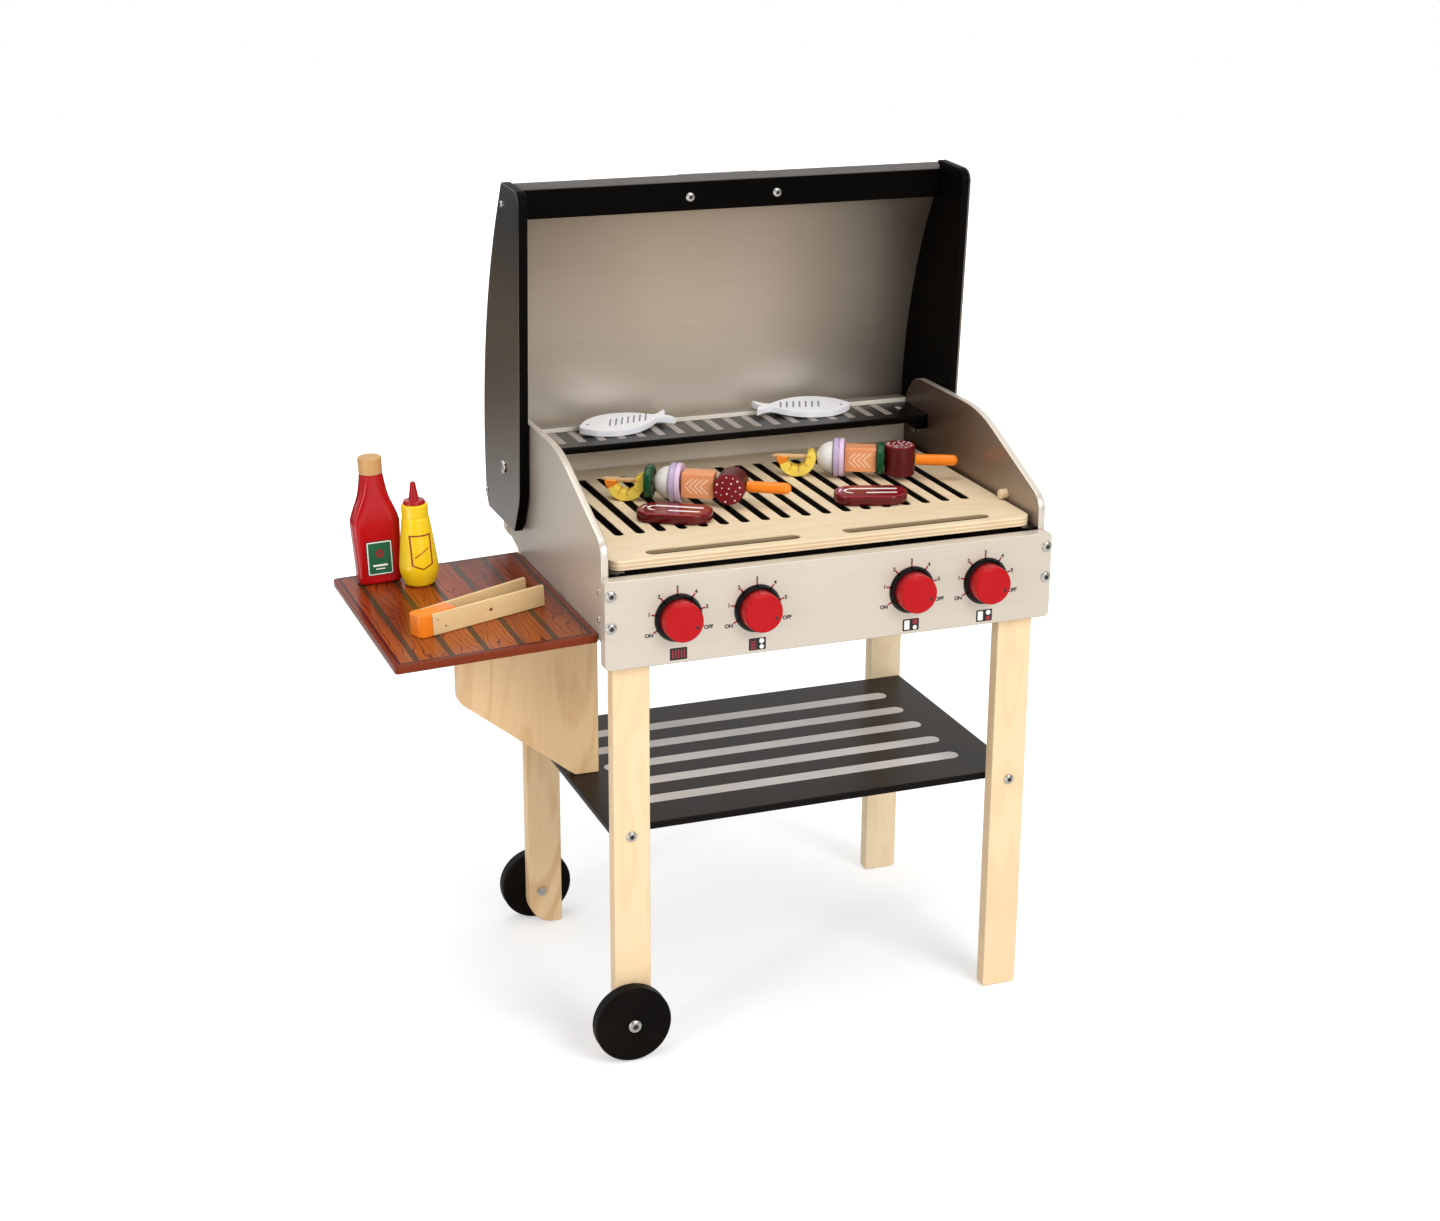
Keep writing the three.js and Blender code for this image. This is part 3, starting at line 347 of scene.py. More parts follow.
sky.node("ShaderNodeOutputWorld", None, {"Surface": backdrop})
print("white behind, and the boards lit at", SKY_LEVEL)

# %% [markdown]
# ### Floor
# The floor is pale and keeps the shadow. It glows a little for the camera alone, more so far away,
# so that it fades into the white. A bright card lies on it to the left, which only glossy surfaces
# see: it gives the hood's left cheek its sheen. Behind the grill the floor is darker to mirrors.

# %% Floor
FLOOR_RADIUS = 6
CARD_LEVEL = 5
FLOOR_DROP = 0.0005
shape = bmesh.new()
bmesh.ops.create_circle(shape, cap_ends=True, segments=96, radius=FLOOR_RADIUS)
bmesh.ops.translate(shape, verts=shape.verts, vec=(0, 0, -FLOOR_DROP))
floor = built("floor", shape)
f = Finish("floor_white")
reach = f.distance(f.x, f.y)
seen = f.node("ShaderNodeLightPath", output="Is Camera Ray")
mirrored = f.node("ShaderNodeLightPath", output="Is Glossy Ray")
card = mirrored * (f.x + 1.60).within(0.50, 0.12) * (f.y + 0.50).within(0.38, 0.12)
glow = seen * (reach.ramp(0.5, 1.6) * 0.6 + 0.40) + card * CARD_LEVEL
level = mirrored * f.y.ramp(1.2, 2.3) * -0.70 + 0.80
matt = f.node("ShaderNodeBsdfDiffuse", None, {"Color": f.vector(level, level, level)})
lift = f.node("ShaderNodeEmission", None, {"Color": (1, 1, 1, 1), "Strength": glow})
both = f.node("ShaderNodeAddShader", None, {0: matt, 1: lift})
f.node("ShaderNodeOutputMaterial", None, {"Surface": both})
floor.data.materials.append(f.material)
print("floor", FLOOR_RADIUS, "m in radius")

# %% [markdown]
# ### Lamps
# Four soft round lamps look at the middle of the grill: a large one from the front right makes the
# shadows, one from above and a narrow one from the left make the sheen, and a weak low one lifts
# the undersides.

# %% Lamps
LAMP_TARGET = Vector((0, 0, 0.4))


def lamp(name, width, height, power, place):
    data = bpy.data.lights.new(name, "AREA")
    data.shape, data.size, data.size_y, data.energy = "ELLIPSE", width, height, power
    made = link(name, data)
    made.location = place
    made.rotation_euler = (LAMP_TARGET - Vector(place)).to_track_quat("-Z", "Y").to_euler()
    print(name, power, "W")


lamp("key_lamp", 1.6, 1.6, 42, (0.9, -2.4, 2.0))
lamp("top_lamp", 1.8, 1.8, 18, (-0.3, 0.1, 2.6))
lamp("side_lamp", 0.35, 1.6, 13, (-2.1, -1.3, 0.9))
lamp("low_lamp", 1.4, 1.4, 7, (0.2, -2.6, 0.6))

# %% [markdown]
# ## Silver film and brushed skin
# The four firebox panels are fibreboard with a silver film whose fine brush lines run along the
# board. The skin of the hood is a thin bent sheet with the same lines, a little darker, with
# painted shade to its top and its right. The side panels are painted a little darker towards the
# back as shade, and their inner faces carry painted shade and reflection. The back panel is painted
# lighter and matt, as painted light where it lies in shade. Brush lines are noise squeezed hard
# across the board and stretched along it. They change the colour and the roughness a little, and a
# very small bump spreads the highlight.


# %% Brushed finishes
BACK_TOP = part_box("back_panel")[1].z
INNER_FACE = 0.1925


def brushed(name, code, grains, metallic, roughness, inner=None, dim=None, edge=None):
    """A brushed look with so many lines in a metre along X, Y and Z.

    The inner tint goes on side faces that look inwards, as painted shade and reflection: brown in
    the middle and darker towards the hood, while the side panels are painted darker towards the
    back as shade. The dim tint is painted shade on the hollow side of the skin, to its top, its
    right and a little to its left, and the edge tint darkens the back panel's sawn top.
    """
    f = Finish(name)
    lines = f.noise(grains, detail=4, roughness=0.7)
    clouds = f.noise(7)
    colour = paint(code)[:3]
    dark, pale = (tuple(min(1, share * c) for c in colour) + (1,) for share in (0.80, 1.12))
    tint = f.mix(lines * 0.75 + clouds * 0.25, dark, pale)
    if edge:
        tint = f.mix(f.z.ramp(BACK_TOP - 0.0008, BACK_TOP - 0.0004), tint, edge)
    if inner:
        inside = abs(f.x - PANEL_MIDDLE).ramp(INNER_FACE + 0.0003, INNER_FACE)
        # Painted reflection and shade on the inner faces: brown in the middle, darker towards the
        # hood.
        deep = f.mix(f.y.ramp(-0.13, 0.05), inner, "#76563F")
        deep = f.mix(f.y.ramp(-0.02, 0.08) * 0.7, deep, "#3A3430")
        # Painted shade: the side panels darker towards the back.
        tint = f.mix(f.y.ramp(-0.06, 0.10) * 0.3, tint, "#857A6D")
        tint = f.mix(inside, tint, f.mix(lines * 0.5, deep, "#5E4533"))
    if dim:
        # Painted shade on the skin's hollow side, to its top, its right and a little to its left.
        from_middle = f.x - PANEL_MIDDLE
        right, left = from_middle.ramp(0.02, 0.21) * 0.72, from_middle.ramp(-0.06, -0.22) * 0.22
        high = f.z.ramp(0.56, 0.73) * 0.40
        hollow = f.faces("Y").ramp(0.2, -0.2)
        tint = f.mix((right + high + left).math("MINIMUM", 0.9) * hollow, tint, dim)
    rough = lines * 0.10 + clouds * 0.05 + (roughness - 0.08)
    return f.shade(tint, rough, (lines, 0.00002), metallic)


silver_across = brushed("silver_across", "#D6CBBC", (14, 900, 1300), 0.35, 0.40)
# The back panel's silver is lighter and matt: painted light where it lies in shade.
silver_back = brushed("silver_back", "#F0E6D6", (14, 900, 1300), 0.0, 0.45, edge="#857C6F")
silver_along = brushed("silver_along", "#DDD3C5", (900, 14, 1300), 0.45, 0.34, "#B5A593")
skin_metal = brushed("skin_metal", "#E2D8CA", (12, 900, 1500), 0.75, 0.42, dim="#5A4C40")
print("the back panel's sawn top is", round(BACK_TOP, 4), "m up")

# %% [markdown]
# ## Black paint
# The hood's frame, the shelves and the wheels are boards and turnings sprayed black. Sprayed paint
# is never quite flat: a faint wave, like the skin of an orange, breaks up the reflections, and the
# gloss changes a little from place to place. The same recipe serves the coloured paints of the
# knobs, the bottles and the food, with a second tint that comes and goes in soft clouds.


# %% Paints
PEEL = 260
BLACKS = "#060504", "#0A0807"


def painted(name, code, second, roughness=0.3, level=0.5, lacquer=0, edge=None):
    """Sprayed paint in two tints that come and go.

    The level says how much it mirrors, the lacquer how much more its upper faces do, and the edge
    colour is painted shade on its sides, which come out darker than the upper faces.
    """
    f = Finish(name)
    clouds = f.noise(18, detail=3)
    colour = f.mix(clouds.ramp(0.3, 0.7), code, second)
    upward = f.faces("Z").ramp(0.5, 0.9)
    if edge:
        colour = f.mix(upward, edge, colour)
    coat = {"Coat_Weight": upward * lacquer, "Coat_Roughness": 0.25} if lacquer else {}
    rough = clouds * 0.12 + (roughness - 0.06)
    return f.shade(colour, rough, (f.noise(PEEL), 0.000015), level=level, **coat)


black_paint = painted("black_paint", *BLACKS, 0.32, 0.06, 0.9)
rack_paint = painted("rack_paint", *BLACKS, 0.30, 0.06, 0.35)
# The shelf's black is painted dark brown as a painted reflection, with painted shade on its sides.
shelf_paint = painted("shelf_paint", "#221811", "#2D2018", 0.34, 0.10, edge="#0C0806")
wheel_paint = painted("wheel_paint", "#0B0806", "#120E0B", 0.40, 0.06)
red_paint = painted("red_paint", "#AE0A10", "#BA0F16", 0.15, 0.35)
orange_paint = painted("orange_paint", "#F07A10", "#F68A22", 0.28, 0.35)
cap_red = painted("cap_red", "#9A0F15", "#AA171D", 0.20, 0.3)
print("black", BLACKS, "with", PEEL, "waves in a metre")

# %% [markdown]
# ### Cheeks and front rail
# The outer faces of the hood's cheeks have a thick glossy lacquer, and their colour carries a
# painted sheen that is brown and lighter lower down. The outer strip of the right cheek's front
# edge gets the same painted highlight. The front rail is matt, apart from its rounded top, which is
# painted grey as a highlight. In both, the place of a point decides which look it gets.

# %% Cheek and rail paints
LEFT_CHEEK_FACE, RIGHT_CHEEK_EDGE, RAIL_TOP = 0.2082, 0.2064, 0.7032
f = Finish("cheek_paint")
peel = f.noise(PEEL)
# Painted highlight on the outer strip of the right cheek's front edge.
right_edge_highlight = (f.x - PANEL_MIDDLE).ramp(RIGHT_CHEEK_EDGE, RIGHT_CHEEK_EDGE + 0.0006)
left_face = (PANEL_MIDDLE - f.x).ramp(LEFT_CHEEK_FACE, LEFT_CHEEK_FACE + 0.0004)
outer = left_face.math("MAXIMUM", right_edge_highlight)
# Painted sheen on the cheeks' outer faces: brown, lighter lower down.
painted_sheen = f.mix(f.z.ramp(0.70, 0.58), "#0E0A07", "#55432F")
tint = f.mix(outer, f.mix(peel, *BLACKS), painted_sheen)
lacquer = {"Coat_Weight": outer, "Coat_Roughness": 0.22, "Coat_IOR": 2.0}
cheek_paint = f.shade(tint, peel * 0.06 + 0.40, (peel, 0.000008), level=0.03, **lacquer)
f = Finish("rail_paint")
peel = f.noise(PEEL)
# Painted highlight: grey on the rail's rounded top.
painted_highlight = f.mix(peel, "#605C59", "#6B6764")
tint = f.mix(f.z.ramp(RAIL_TOP, RAIL_TOP + 0.0012), f.mix(peel, *BLACKS), painted_highlight)
rail_paint = f.shade(tint, peel * 0.06 + 0.28, (peel, 0.00002), level=0.02)
print("paints so far", len(bpy.data.materials))

# %% [markdown]
# ## Birch
# Legs, grate, bracket and tongs are birch under a clear varnish. Rotary-cut birch has three marks:
# wide pale flames, which are contour lines of the growth rings, fine streaks along the grain, and
# short darker pores. Each is noise at its own stretch, and all of them are faint. The grate also
# shows its five plies on its edges, dark sides where the slots were cut, and painted shade deeper
# in the grooves. Some legs and the bracket get lighter copies of the birch, as painted light where
# they stand in shade.


# %% Birch finish
GROOVE_LINE, GROOVE_HALF = 0.0325, 0.0078
SLOTS_LINE, SLOTS_HALF, SLOTS_SIDE = 0.169, 0.0868, 0.165


def birch(name, grain, pale="#F6DDB6", deep="#ECC694", ply=None, figure=0.12):
    """Varnished birch with its grain along one axis; ply is (lowest z, highest z, layers)."""
    f = Finish(name)

    def along(fine, coarse):
        return tuple(coarse if axis == grain else fine for axis in "XYZ")

    flame = f.noise(along(16, 3.2), distortion=0.4)
    rings = (flame * 9 % 1 - 0.5).within(0.16, 0.10)
    streaks = f.noise(along(420, 9), detail=3, roughness=0.6)
    pores = f.noise(along(900, 60)).ramp(0.66, 0.74)
    wood = f.mix(flame * 0.45 + streaks * 0.45, pale, deep)
    wood = f.over(wood, (rings * figure, "#D2A067"), (pores * 0.30, "#B98750"))
    if ply:
        low, high, layers = ply
        layer = (f.z - low) / ((high - low) / layers)
        seam = (layer % 1 - 0.5).ramp(0.36, 0.44)
        dark_layer = ((layer / 2) % 1 - 0.5).ramp(-0.02, 0.02)
        inside = (f.z - (low + high) / 2).within((high - low) / 2 - 0.0008, 0.0001)
        back = f.y - PANEL_FRONT
        routed = (back - GROOVE_LINE).within(GROOVE_HALF, 0.0002)
        between = abs(f.x - PANEL_MIDDLE).ramp(SLOTS_SIDE + 0.0005, SLOTS_SIDE - 0.0005)
        sawn = (back - SLOTS_LINE).within(SLOTS_HALF, 0.0002) * between
        wood = f.over(
            wood,
            (inside * (seam * 0.30 + dark_layer * 0.35), "#A87B4A"),
            # Painted shade deeper in the grooves: greyer below the top ply, dark brown at the
            # bottom.
            (routed * f.z.ramp(high - 0.0008, high - 0.0016), "#A08A68"),
            (routed * f.z.ramp(high - 0.0036, high - 0.0044), "#4A3524"),
            (sawn * f.z.ramp(high - 0.0004, high - 0.0012), "#120B07"),
        )
    return f.shade(wood, streaks * 0.12 + 0.38, (streaks * 0.6 - pores * 0.8, 0.00005))


birch_upright = birch("birch_upright", "Z")
# The back left leg has a bolder figure and a warmer tone, partly painted warm light. The back right
# leg and the bracket are lighter copies of the birch, painted light where the shelf and the table
# shade them.
birch_dark_leg = birch("birch_dark_leg", "Z", "#F8DDB2", "#ECC28A", figure=0.45)
birch_pale_leg = birch("birch_pale_leg", "Z", "#FBE8C6", "#F3D5A6")
birch_bracket = birch("birch_bracket", "Z", "#FBDDB0", "#EBBD80", figure=0.30)
birch_across = birch("birch_across", "X", "#EFDAB6", "#E2C394")
grate_low, grate_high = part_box("cooking_grate")
birch_grate = birch("birch_grate", "X", "#F3E0C0", "#E8CFA6", (grate_low.z, grate_high.z, 5))
birch_arm = birch("birch_arm", "X", "#EBD3A2", "#DDB67C")
print("grate", round((grate_high.z - grate_low.z) / MM, 1), "mm thick in 5 plies")

# %% [markdown]
# ## Screw metal
# Screws and bolts are bright plated steel with a hexagon socket. The meshes carry a value that is
# 1 in the socket, and the finish paints shade there: darker and less metallic.

# %% Screw metal
f = Finish("screw_metal")
scratch = f.noise(1500, detail=3)
socket = f.node("ShaderNodeAttribute", {"attribute_name": "socket"}, None, output="Fac")
# Painted shade in the sockets.
tint = f.mix(socket * 0.9, f.mix(scratch, "#B5B2AC", "#DAD8D2"), "#171412")
screw_metal = f.shade(tint, scratch * 0.15 + 0.20, metallic=1 - socket * 0.6)
print("screw metal darkens in the sockets")

# %% [markdown]
# ## From a solid to a board
# The frame's solids already have the boards' outlines and chamfers. A board's visible piece is a
# copy of its solid: the loose triangles are joined, flat ones are merged into faces, and the
# chamfers are shaded as roundings. Face-weighted normals keep the big faces flat. A board with
# square edges gets a small bevel first.


# %% Boards
def evaluated(piece):
    """The plain mesh that a piece has once its modifiers are worked out."""
    bpy.context.view_layer.update()
    graph = bpy.context.evaluated_depsgraph_get()
    return bpy.data.meshes.new_from_object(piece.evaluated_get(graph))


def settle(piece):
    """Apply the modifiers, so that the piece is a plain mesh."""
    mesh = evaluated(piece)
    piece.modifiers.clear()
    piece.data = mesh
    return piece


def smooth(piece, sharp=60, bevel=None, segments=3):
    """Shade a piece round, with its edges beyond an angle sharp, or bevelled by millimetres."""
    mesh = piece.data
    mesh.polygons.foreach_set("use_smooth", [True] * len(mesh.polygons))
    if bevel:
        edge = piece.modifiers.new("bevel", "BEVEL")
        edge.width = bevel * MM
        edge.segments = segments
        edge.limit_method = "ANGLE"
        edge.angle_limit = math.radians(sharp)
    else:
        mesh.set_sharp_from_angle(angle=math.radians(sharp))
    weighted = piece.modifiers.new("weighted", "WEIGHTED_NORMAL")
    weighted.keep_sharp = True
    return settle(piece)


def dress(piece, body, slot, finish):
    """Give a piece its finish and the body it moves with; the slot is not used."""
    piece.data.materials.clear()
    piece.data.materials.append(finish)
    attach(piece, body)
    return piece


def stand_for(piece, slot, finish, node):
    """Show a piece in place of a solid, on the solid's own body."""
    dress(piece, *body_of(frame["nodes"][node]), slot, finish)
    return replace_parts(piece, node)


def board(node, slot, finish, bevel=None):
    mesh = frame["nodes"][node].data.copy()
    shape = bmesh.new()
    shape.from_mesh(mesh)
    bmesh.ops.remove_doubles(shape, verts=shape.verts, dist=0.002 * MM)
    bmesh.ops.dissolve_limit(
        shape, angle_limit=math.radians(0.4), verts=shape.verts, edges=shape.edges
    )
    shape.to_mesh(mesh)
    shape.free()
    return stand_for(smooth(link(node + "_board", mesh), bevel=bevel), slot, finish, node)


print("solids to dress", len(frame["nodes"]))

# %% [markdown]
# ### Which board has which finish
# The stock list of the grill: silver film for the firebox, bare birch for the legs, the bracket and
# the pegs, and black for the rest. The two rails across the hood have square edges in the solids,
# so they get a bevel.

# %% Panels, legs and hood boards
SILVER, WOOD, BLACK = "silver_panel", "bare_wood", "black_board"
STOCK = [
    (SILVER, silver_across, None, "control_panel"),
    (SILVER, silver_back, None, "back_panel"),
    (SILVER, silver_along, None, "left_side_panel right_side_panel"),
    (WOOD, birch_upright, None, "leg_front_left leg_front_right"),
    (WOOD, birch_dark_leg, None, "leg_back_left"),
    (WOOD, birch_pale_leg, None, "leg_back_right"),
    (WOOD, birch_bracket, None, "side_table_bracket"),
    (BLACK, black_paint, None, "grate_rail_left grate_rail_right rack_cleat_left rack_cleat_right"),
    (BLACK, black_paint, None, "firebox_tray hood_handle"),
    (BLACK, rack_paint, None, "warming_rack"),
    (BLACK, shelf_paint, None, "lower_shelf"),
    (BLACK, cheek_paint, None, "hood_left_cheek hood_right_cheek"),
    (BLACK, rail_paint, 1.2, "hood_front_rail"),
    (BLACK, black_paint, 1.2, "hood_back_rail"),
    (WOOD, birch_across, None, "grate_peg_left grate_peg_right"),
]
for slot, finish, bevel, nodes in STOCK:
    for node in nodes.split():
        board(node, slot, finish, bevel)

# %% [markdown]
# ## Building blocks
# Turned pieces, such as knobs and wheels, are lofts through circles. Sawn pieces are outlines with
# a thickness. Both are written in millimetres on the piece's own axes, then put in place by one
# matrix. A face's axes have X to the right and Y up for someone who looks at that face, and Z
# comes towards them.

# %% Axes
SCALE = Matrix.Scale(MM, 4)
SIDES = {"front": 0, "right": 90, "back": 180, "left": -90}


def shift(x=0, y=0, z=0):
    return Matrix.Translation((x, y, z))


def face(side, origin):
    """Millimetre axes of an upright face that looks to the front, right, back or left."""
    return Matrix.Translation(origin) @ rotation(SIDES[side], "Z") @ rotation(90, "X") @ SCALE


def lying(origin, turn=0):
    """Millimetre axes of a piece that lies flat, turned about the upright."""
    return Matrix.Translation(origin) @ rotation(turn, "Z") @ SCALE


print("sides", list(SIDES))


# %% Outlines
def rounded(corners, closed=True, steps=5):
    """An outline whose corners, given as (x, y, radius), are arcs."""
    points = []
    for index, (x, y, *radius) in enumerate(corners):
        here = Vector((x, y))
        if not (radius and radius[0]) or (not closed and index in (0, len(corners) - 1)):
            points.append(here)
            continue
        before = (Vector(corners[index - 1][:2]) - here).normalized()
        after = (Vector(corners[(index + 1) % len(corners)][:2]) - here).normalized()
        half = before.angle(after) / 2
        centre = here + (before + after).normalized() * radius[0] / math.sin(half)
        start, end = (here + way * radius[0] / math.tan(half) - centre for way in (before, after))
        first = math.atan2(start.y, start.x)
        sweep = (math.atan2(end.y, end.x) - first + math.pi) % math.tau - math.pi
        for step in range(steps + 1):
            angle = first + sweep * step / steps
            points.append(centre + radius[0] * Vector((math.cos(angle), math.sin(angle))))
    return points


def rectangle(x, y, width, height, corner=0):
    right, up = width / 2, height / 2
    ways = (-1, -1), (1, -1), (1, 1), (-1, 1)
    return rounded([(x + i * right, y + j * up, corner) for i, j in ways])


def disc(x, y, radius, sides=32):
    angles = [math.tau * side / sides for side in range(sides)]
    return [Vector((x + radius * math.cos(a), y + radius * math.sin(a))) for a in angles]


def cubic(t, p, q, r, s):
    """The value at a share t of the way from q to r, with p before them and s after them."""
    return q + 0.5 * t * (r - p + t * (2 * p - 5 * q + 4 * r - s + t * (3 * (q - r) + s - p)))


def flow(stops, steps=6):
    """A smooth line through stops of any number of values, each span a cubic."""
    line = []
    ends = [stops[0], *stops, stops[-1]]
    for a, b, c, d in zip(ends, ends[1:], ends[2:], ends[3:]):
        for step in range(steps):
            line.append(tuple(cubic(step / steps, *near) for near in zip(a, b, c, d)))
    return [*line, tuple(stops[-1])]


print("corners of a rounded square", len(rectangle(0, 0, 10, 10, 1)))

# %% [markdown]
# ### Lofts and plates
# A loft joins rings of points with faces, and ends in a flat face or in a pole. A plate is an
# outline that is pulled up. Both have their normals worked out again at the end, so that faces
# point outwards, also where the place turns the shape inside out.


# %% Lofts and plates
def ring(radius, level, sides=48, lobes=0, depth=0, corners=0):
    """A ring of points; lobes make it wavy, and corners make it a polygon."""
    points = []
    for side in range(sides):
        angle = math.tau * side / sides
        reach = radius + depth * math.cos(lobes * angle)
        if corners:
            half = math.pi / corners
            reach = radius * math.cos(half) / math.cos(angle % (2 * half) - half)
        points.append(Vector((reach * math.cos(angle), reach * math.sin(angle), level)))
    return points


def loft(name, rings, place, closed=False, marked=0):
    """A mesh through rings, where one point is a pole; the first rings may be marked as socket."""
    shape = bmesh.new()
    mark = shape.verts.layers.float.new("socket")
    layers = [[shape.verts.new(place @ point) for point in points] for points in rings]
    for layer in layers[:marked]:
        for vertex in layer:
            vertex[mark] = 1
    spans = list(zip(layers, layers[1:])) + ([(layers[-1], layers[0])] if closed else [])
    for low, high in spans:
        count = max(len(low), len(high))
        for side in range(count):
            after = (side + 1) % count
            corners = [low[side % len(low)], low[after % len(low)]]
            corners += [high[after % len(high)], high[side % len(high)]]
            shape.faces.new(list(dict.fromkeys(corners)))
    for layer in () if closed else (layers[0], layers[-1]):
        if len(layer) > 1:
            shape.faces.new(layer)
    bmesh.ops.recalc_face_normals(shape, faces=shape.faces)
    return built(name, shape)


def lathe(name, profile, place, sides=64, closed=False):
    """A turned piece; its profile is (radius, level) points, and a radius of 0 is a pole."""
    rings = [[Vector((0, 0, z))] if r == 0 else ring(r, z, sides) for r, z in profile]
    return loft(name, rings, place, closed)


def plates(name, outlines, low, high, place):
    """One mesh of flat plates between two levels."""
    shape = bmesh.new()
    for outline in outlines:
        base = shape.faces.new([shape.verts.new((x, y, low)) for x, y in outline])
        grown = bmesh.ops.extrude_face_region(shape, geom=[base])["geom"]
        top = [part for part in grown if isinstance(part, bmesh.types.BMVert)]
        bmesh.ops.translate(shape, verts=top, vec=(0, 0, high - low))
    bmesh.ops.transform(shape, matrix=place, verts=shape.verts)
    bmesh.ops.recalc_face_normals(shape, faces=shape.faces)
    return built(name, shape)


print("a ring has", len(ring(1, 0)), "points")

# %% [markdown]
# ## Recipes
# What repeats, or follows a rule, is made by Geometry Nodes: screws, slots, stripes, dots, dial
# ticks and the bent skin. A recipe is a node tree with named inputs. It runs once on an empty
# piece, and the piece keeps the plain mesh.


# %% The recipe class
class Recipe(Graph):
    """A geometry node tree that ends in one finish; its inputs are named for each kind."""

    def __init__(self, name, **kinds):
        super().__init__(bpy.data.node_groups.new(name, "GeometryNodeTree"))
        sockets = self.tree.interface
        sockets.new_socket("Geometry", in_out="INPUT", socket_type="NodeSocketGeometry")
        sockets.new_socket("Geometry", in_out="OUTPUT", socket_type="NodeSocketGeometry")
        for kind, labels in {**kinds, "Material": "Finish"}.items():
            for label in labels.split():
                sockets.new_socket(label, in_out="INPUT", socket_type="NodeSocket" + kind)
        self.entry = self.tree.nodes.new("NodeGroupInput")

    def __getitem__(self, label):
        return Value(self, self.entry.outputs[label])

    def shell(self, sheet, height):
        """A closed solid from a sheet, which grows along its normals."""
        grown = self.node(
            "GeometryNodeExtrudeMesh",
            None,
            {"Mesh": sheet, "Offset Scale": height, "Individual": False},
        )
        base = self.node("GeometryNodeFlipFaces", None, {0: sheet})
        both = self.node("GeometryNodeJoinGeometry", None, {0: [grown, base]})
        sockets = {"Geometry": both, "Distance": 0.0001}
        return self.node("GeometryNodeMergeByDistance", None, sockets)

    def capsule(self, length, width, corner):
        """The outline of a rectangle with round corners."""
        corners = self.node(
            "GeometryNodeCurvePrimitiveQuadrilateral", None, {"Width": length, "Height": width}
        )
        return self.node(
            "GeometryNodeFilletCurve",
            {"mode": "POLY"},
            {"Curve": corners, "Count": 8, "Radius": corner, "Limit Radius": True},
        )

    def fill(self, curves):
        return self.node("GeometryNodeFillCurve", {"mode": "NGONS"}, {"Curve": curves})

    def row(self, count, start, step):
        """Points in a straight row."""
        return self.node(
            "GeometryNodeMeshLine", None, {"Count": count, "Start Location": start, "Offset": step}
        )

    def repeat(self, points, shape, **more):
        sockets = {"Points": points, "Instance": shape, **more}
        return self.node("GeometryNodeInstanceOnPoints", None, sockets)

    def end(self, geometry):
        real = self.node("GeometryNodeRealizeInstances", None, {0: geometry})
        sockets = {"Geometry": real, "Material": self["Finish"]}
        self.node("NodeGroupOutput", None, {0: self.node("GeometryNodeSetMaterial", None, sockets)})

    def make(self, name, place, mesh=None, **values):
        piece = link(name, mesh or bpy.data.meshes.new(name))
        recipe = piece.modifiers.new(name, "NODES")
        recipe.node_group = self.tree
        for item in self.tree.interface.items_tree:
            if item.in_out == "INPUT" and item.name in values:
                recipe[item.identifier] = values[item.name]
        settle(piece)
        piece.data.transform(place)
        return piece


print("a recipe has", [name for name in vars(Recipe) if not name.startswith("__")])

# %% [markdown]
# ## Hood skin
# A sheet of thin metal is bent along an arc between the two cheeks. The rule is simple: the share
# of a point along the sheet gives its angle about the arc's centre. The arc's centre and radius
# are those of the cheeks' curved edges.

# %% Hood skin
SKIN_RADIUS = 445.2
SKIN_THICKNESS = 3
ARC_CENTRE = at(0, -132.4, 457.9)
skin_low, skin_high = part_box("hood_skin")
bend = Recipe("bent_sheet", Float="Width Radius From To Thick")
grid = bend.node(
    "GeometryNodeMeshGrid", None, {0: bend["Width"], 1: 1.0, "Vertices X": 2, "Vertices Y": 73}
)
place = bend.node("GeometryNodeInputPosition")
right, share = (bend.node("ShaderNodeSeparateXYZ", None, {0: place}, output=a) for a in "XY")
angle = bend["From"] + (share + 0.5) * (bend["To"] - bend["From"])
bent = bend.vector(
    right, angle.math("COSINE") * bend["Radius"], angle.math("SINE") * bend["Radius"]
)
sheet = bend.node("GeometryNodeSetPosition", None, {"Geometry": grid, "Position": bent})
bend.end(bend.shell(sheet, bend["Thick"]))


def arc_angle(level):
    return math.asin((level - ARC_CENTRE.z) / (SKIN_RADIUS * MM))


skin = bend.make(
    "hood_skin_bent",
    lying(ARC_CENTRE),
    Width=(skin_high.x - skin_low.x) / MM,
    Radius=SKIN_RADIUS,
    From=arc_angle(skin_low.z),
    To=arc_angle(skin_high.z),
    Thick=float(SKIN_THICKNESS),
)
stand_for(smooth(skin), "brushed_skin", skin_metal, "hood_skin")
print("skin", len(skin.data.polygons), "faces")

# %% [markdown]
# ## Cooking grate
# The grate is one plywood board. Eighteen slots are routed right through it, and two long grooves
# are routed part of the way along its front. The recipe fills a rounded outline that has the slots
# as holes, gives it its thickness and cuts the grooves out.

# %% Cooking grate
SIZES = "Length Depth Corner Thick Pitch Slot Width Back Groove Side Front Wide Cut"
grate = Recipe("slotted_board", Float=SIZES, Int="Count")
outline = grate.capsule(grate["Length"], grate["Depth"], grate["Corner"])
first = (grate["Count"] - 1) * grate["Pitch"] * -0.5
along = grate["Depth"] * 0.5 - grate["Back"] - grate["Slot"] * 0.5
row = grate.row(grate["Count"], grate.vector(first, along), grate.vector(grate["Pitch"]))
slot = grate.capsule(grate["Width"], grate["Slot"], grate["Width"] * 0.5)
slots = grate.node("GeometryNodeRealizeInstances", None, {0: grate.repeat(row, slot)})
curves = grate.node("GeometryNodeJoinGeometry", None, {0: [outline, slots]})
body = grate.shell(grate.fill(curves), grate["Thick"])
ahead = grate["Front"] - grate["Depth"] * 0.5
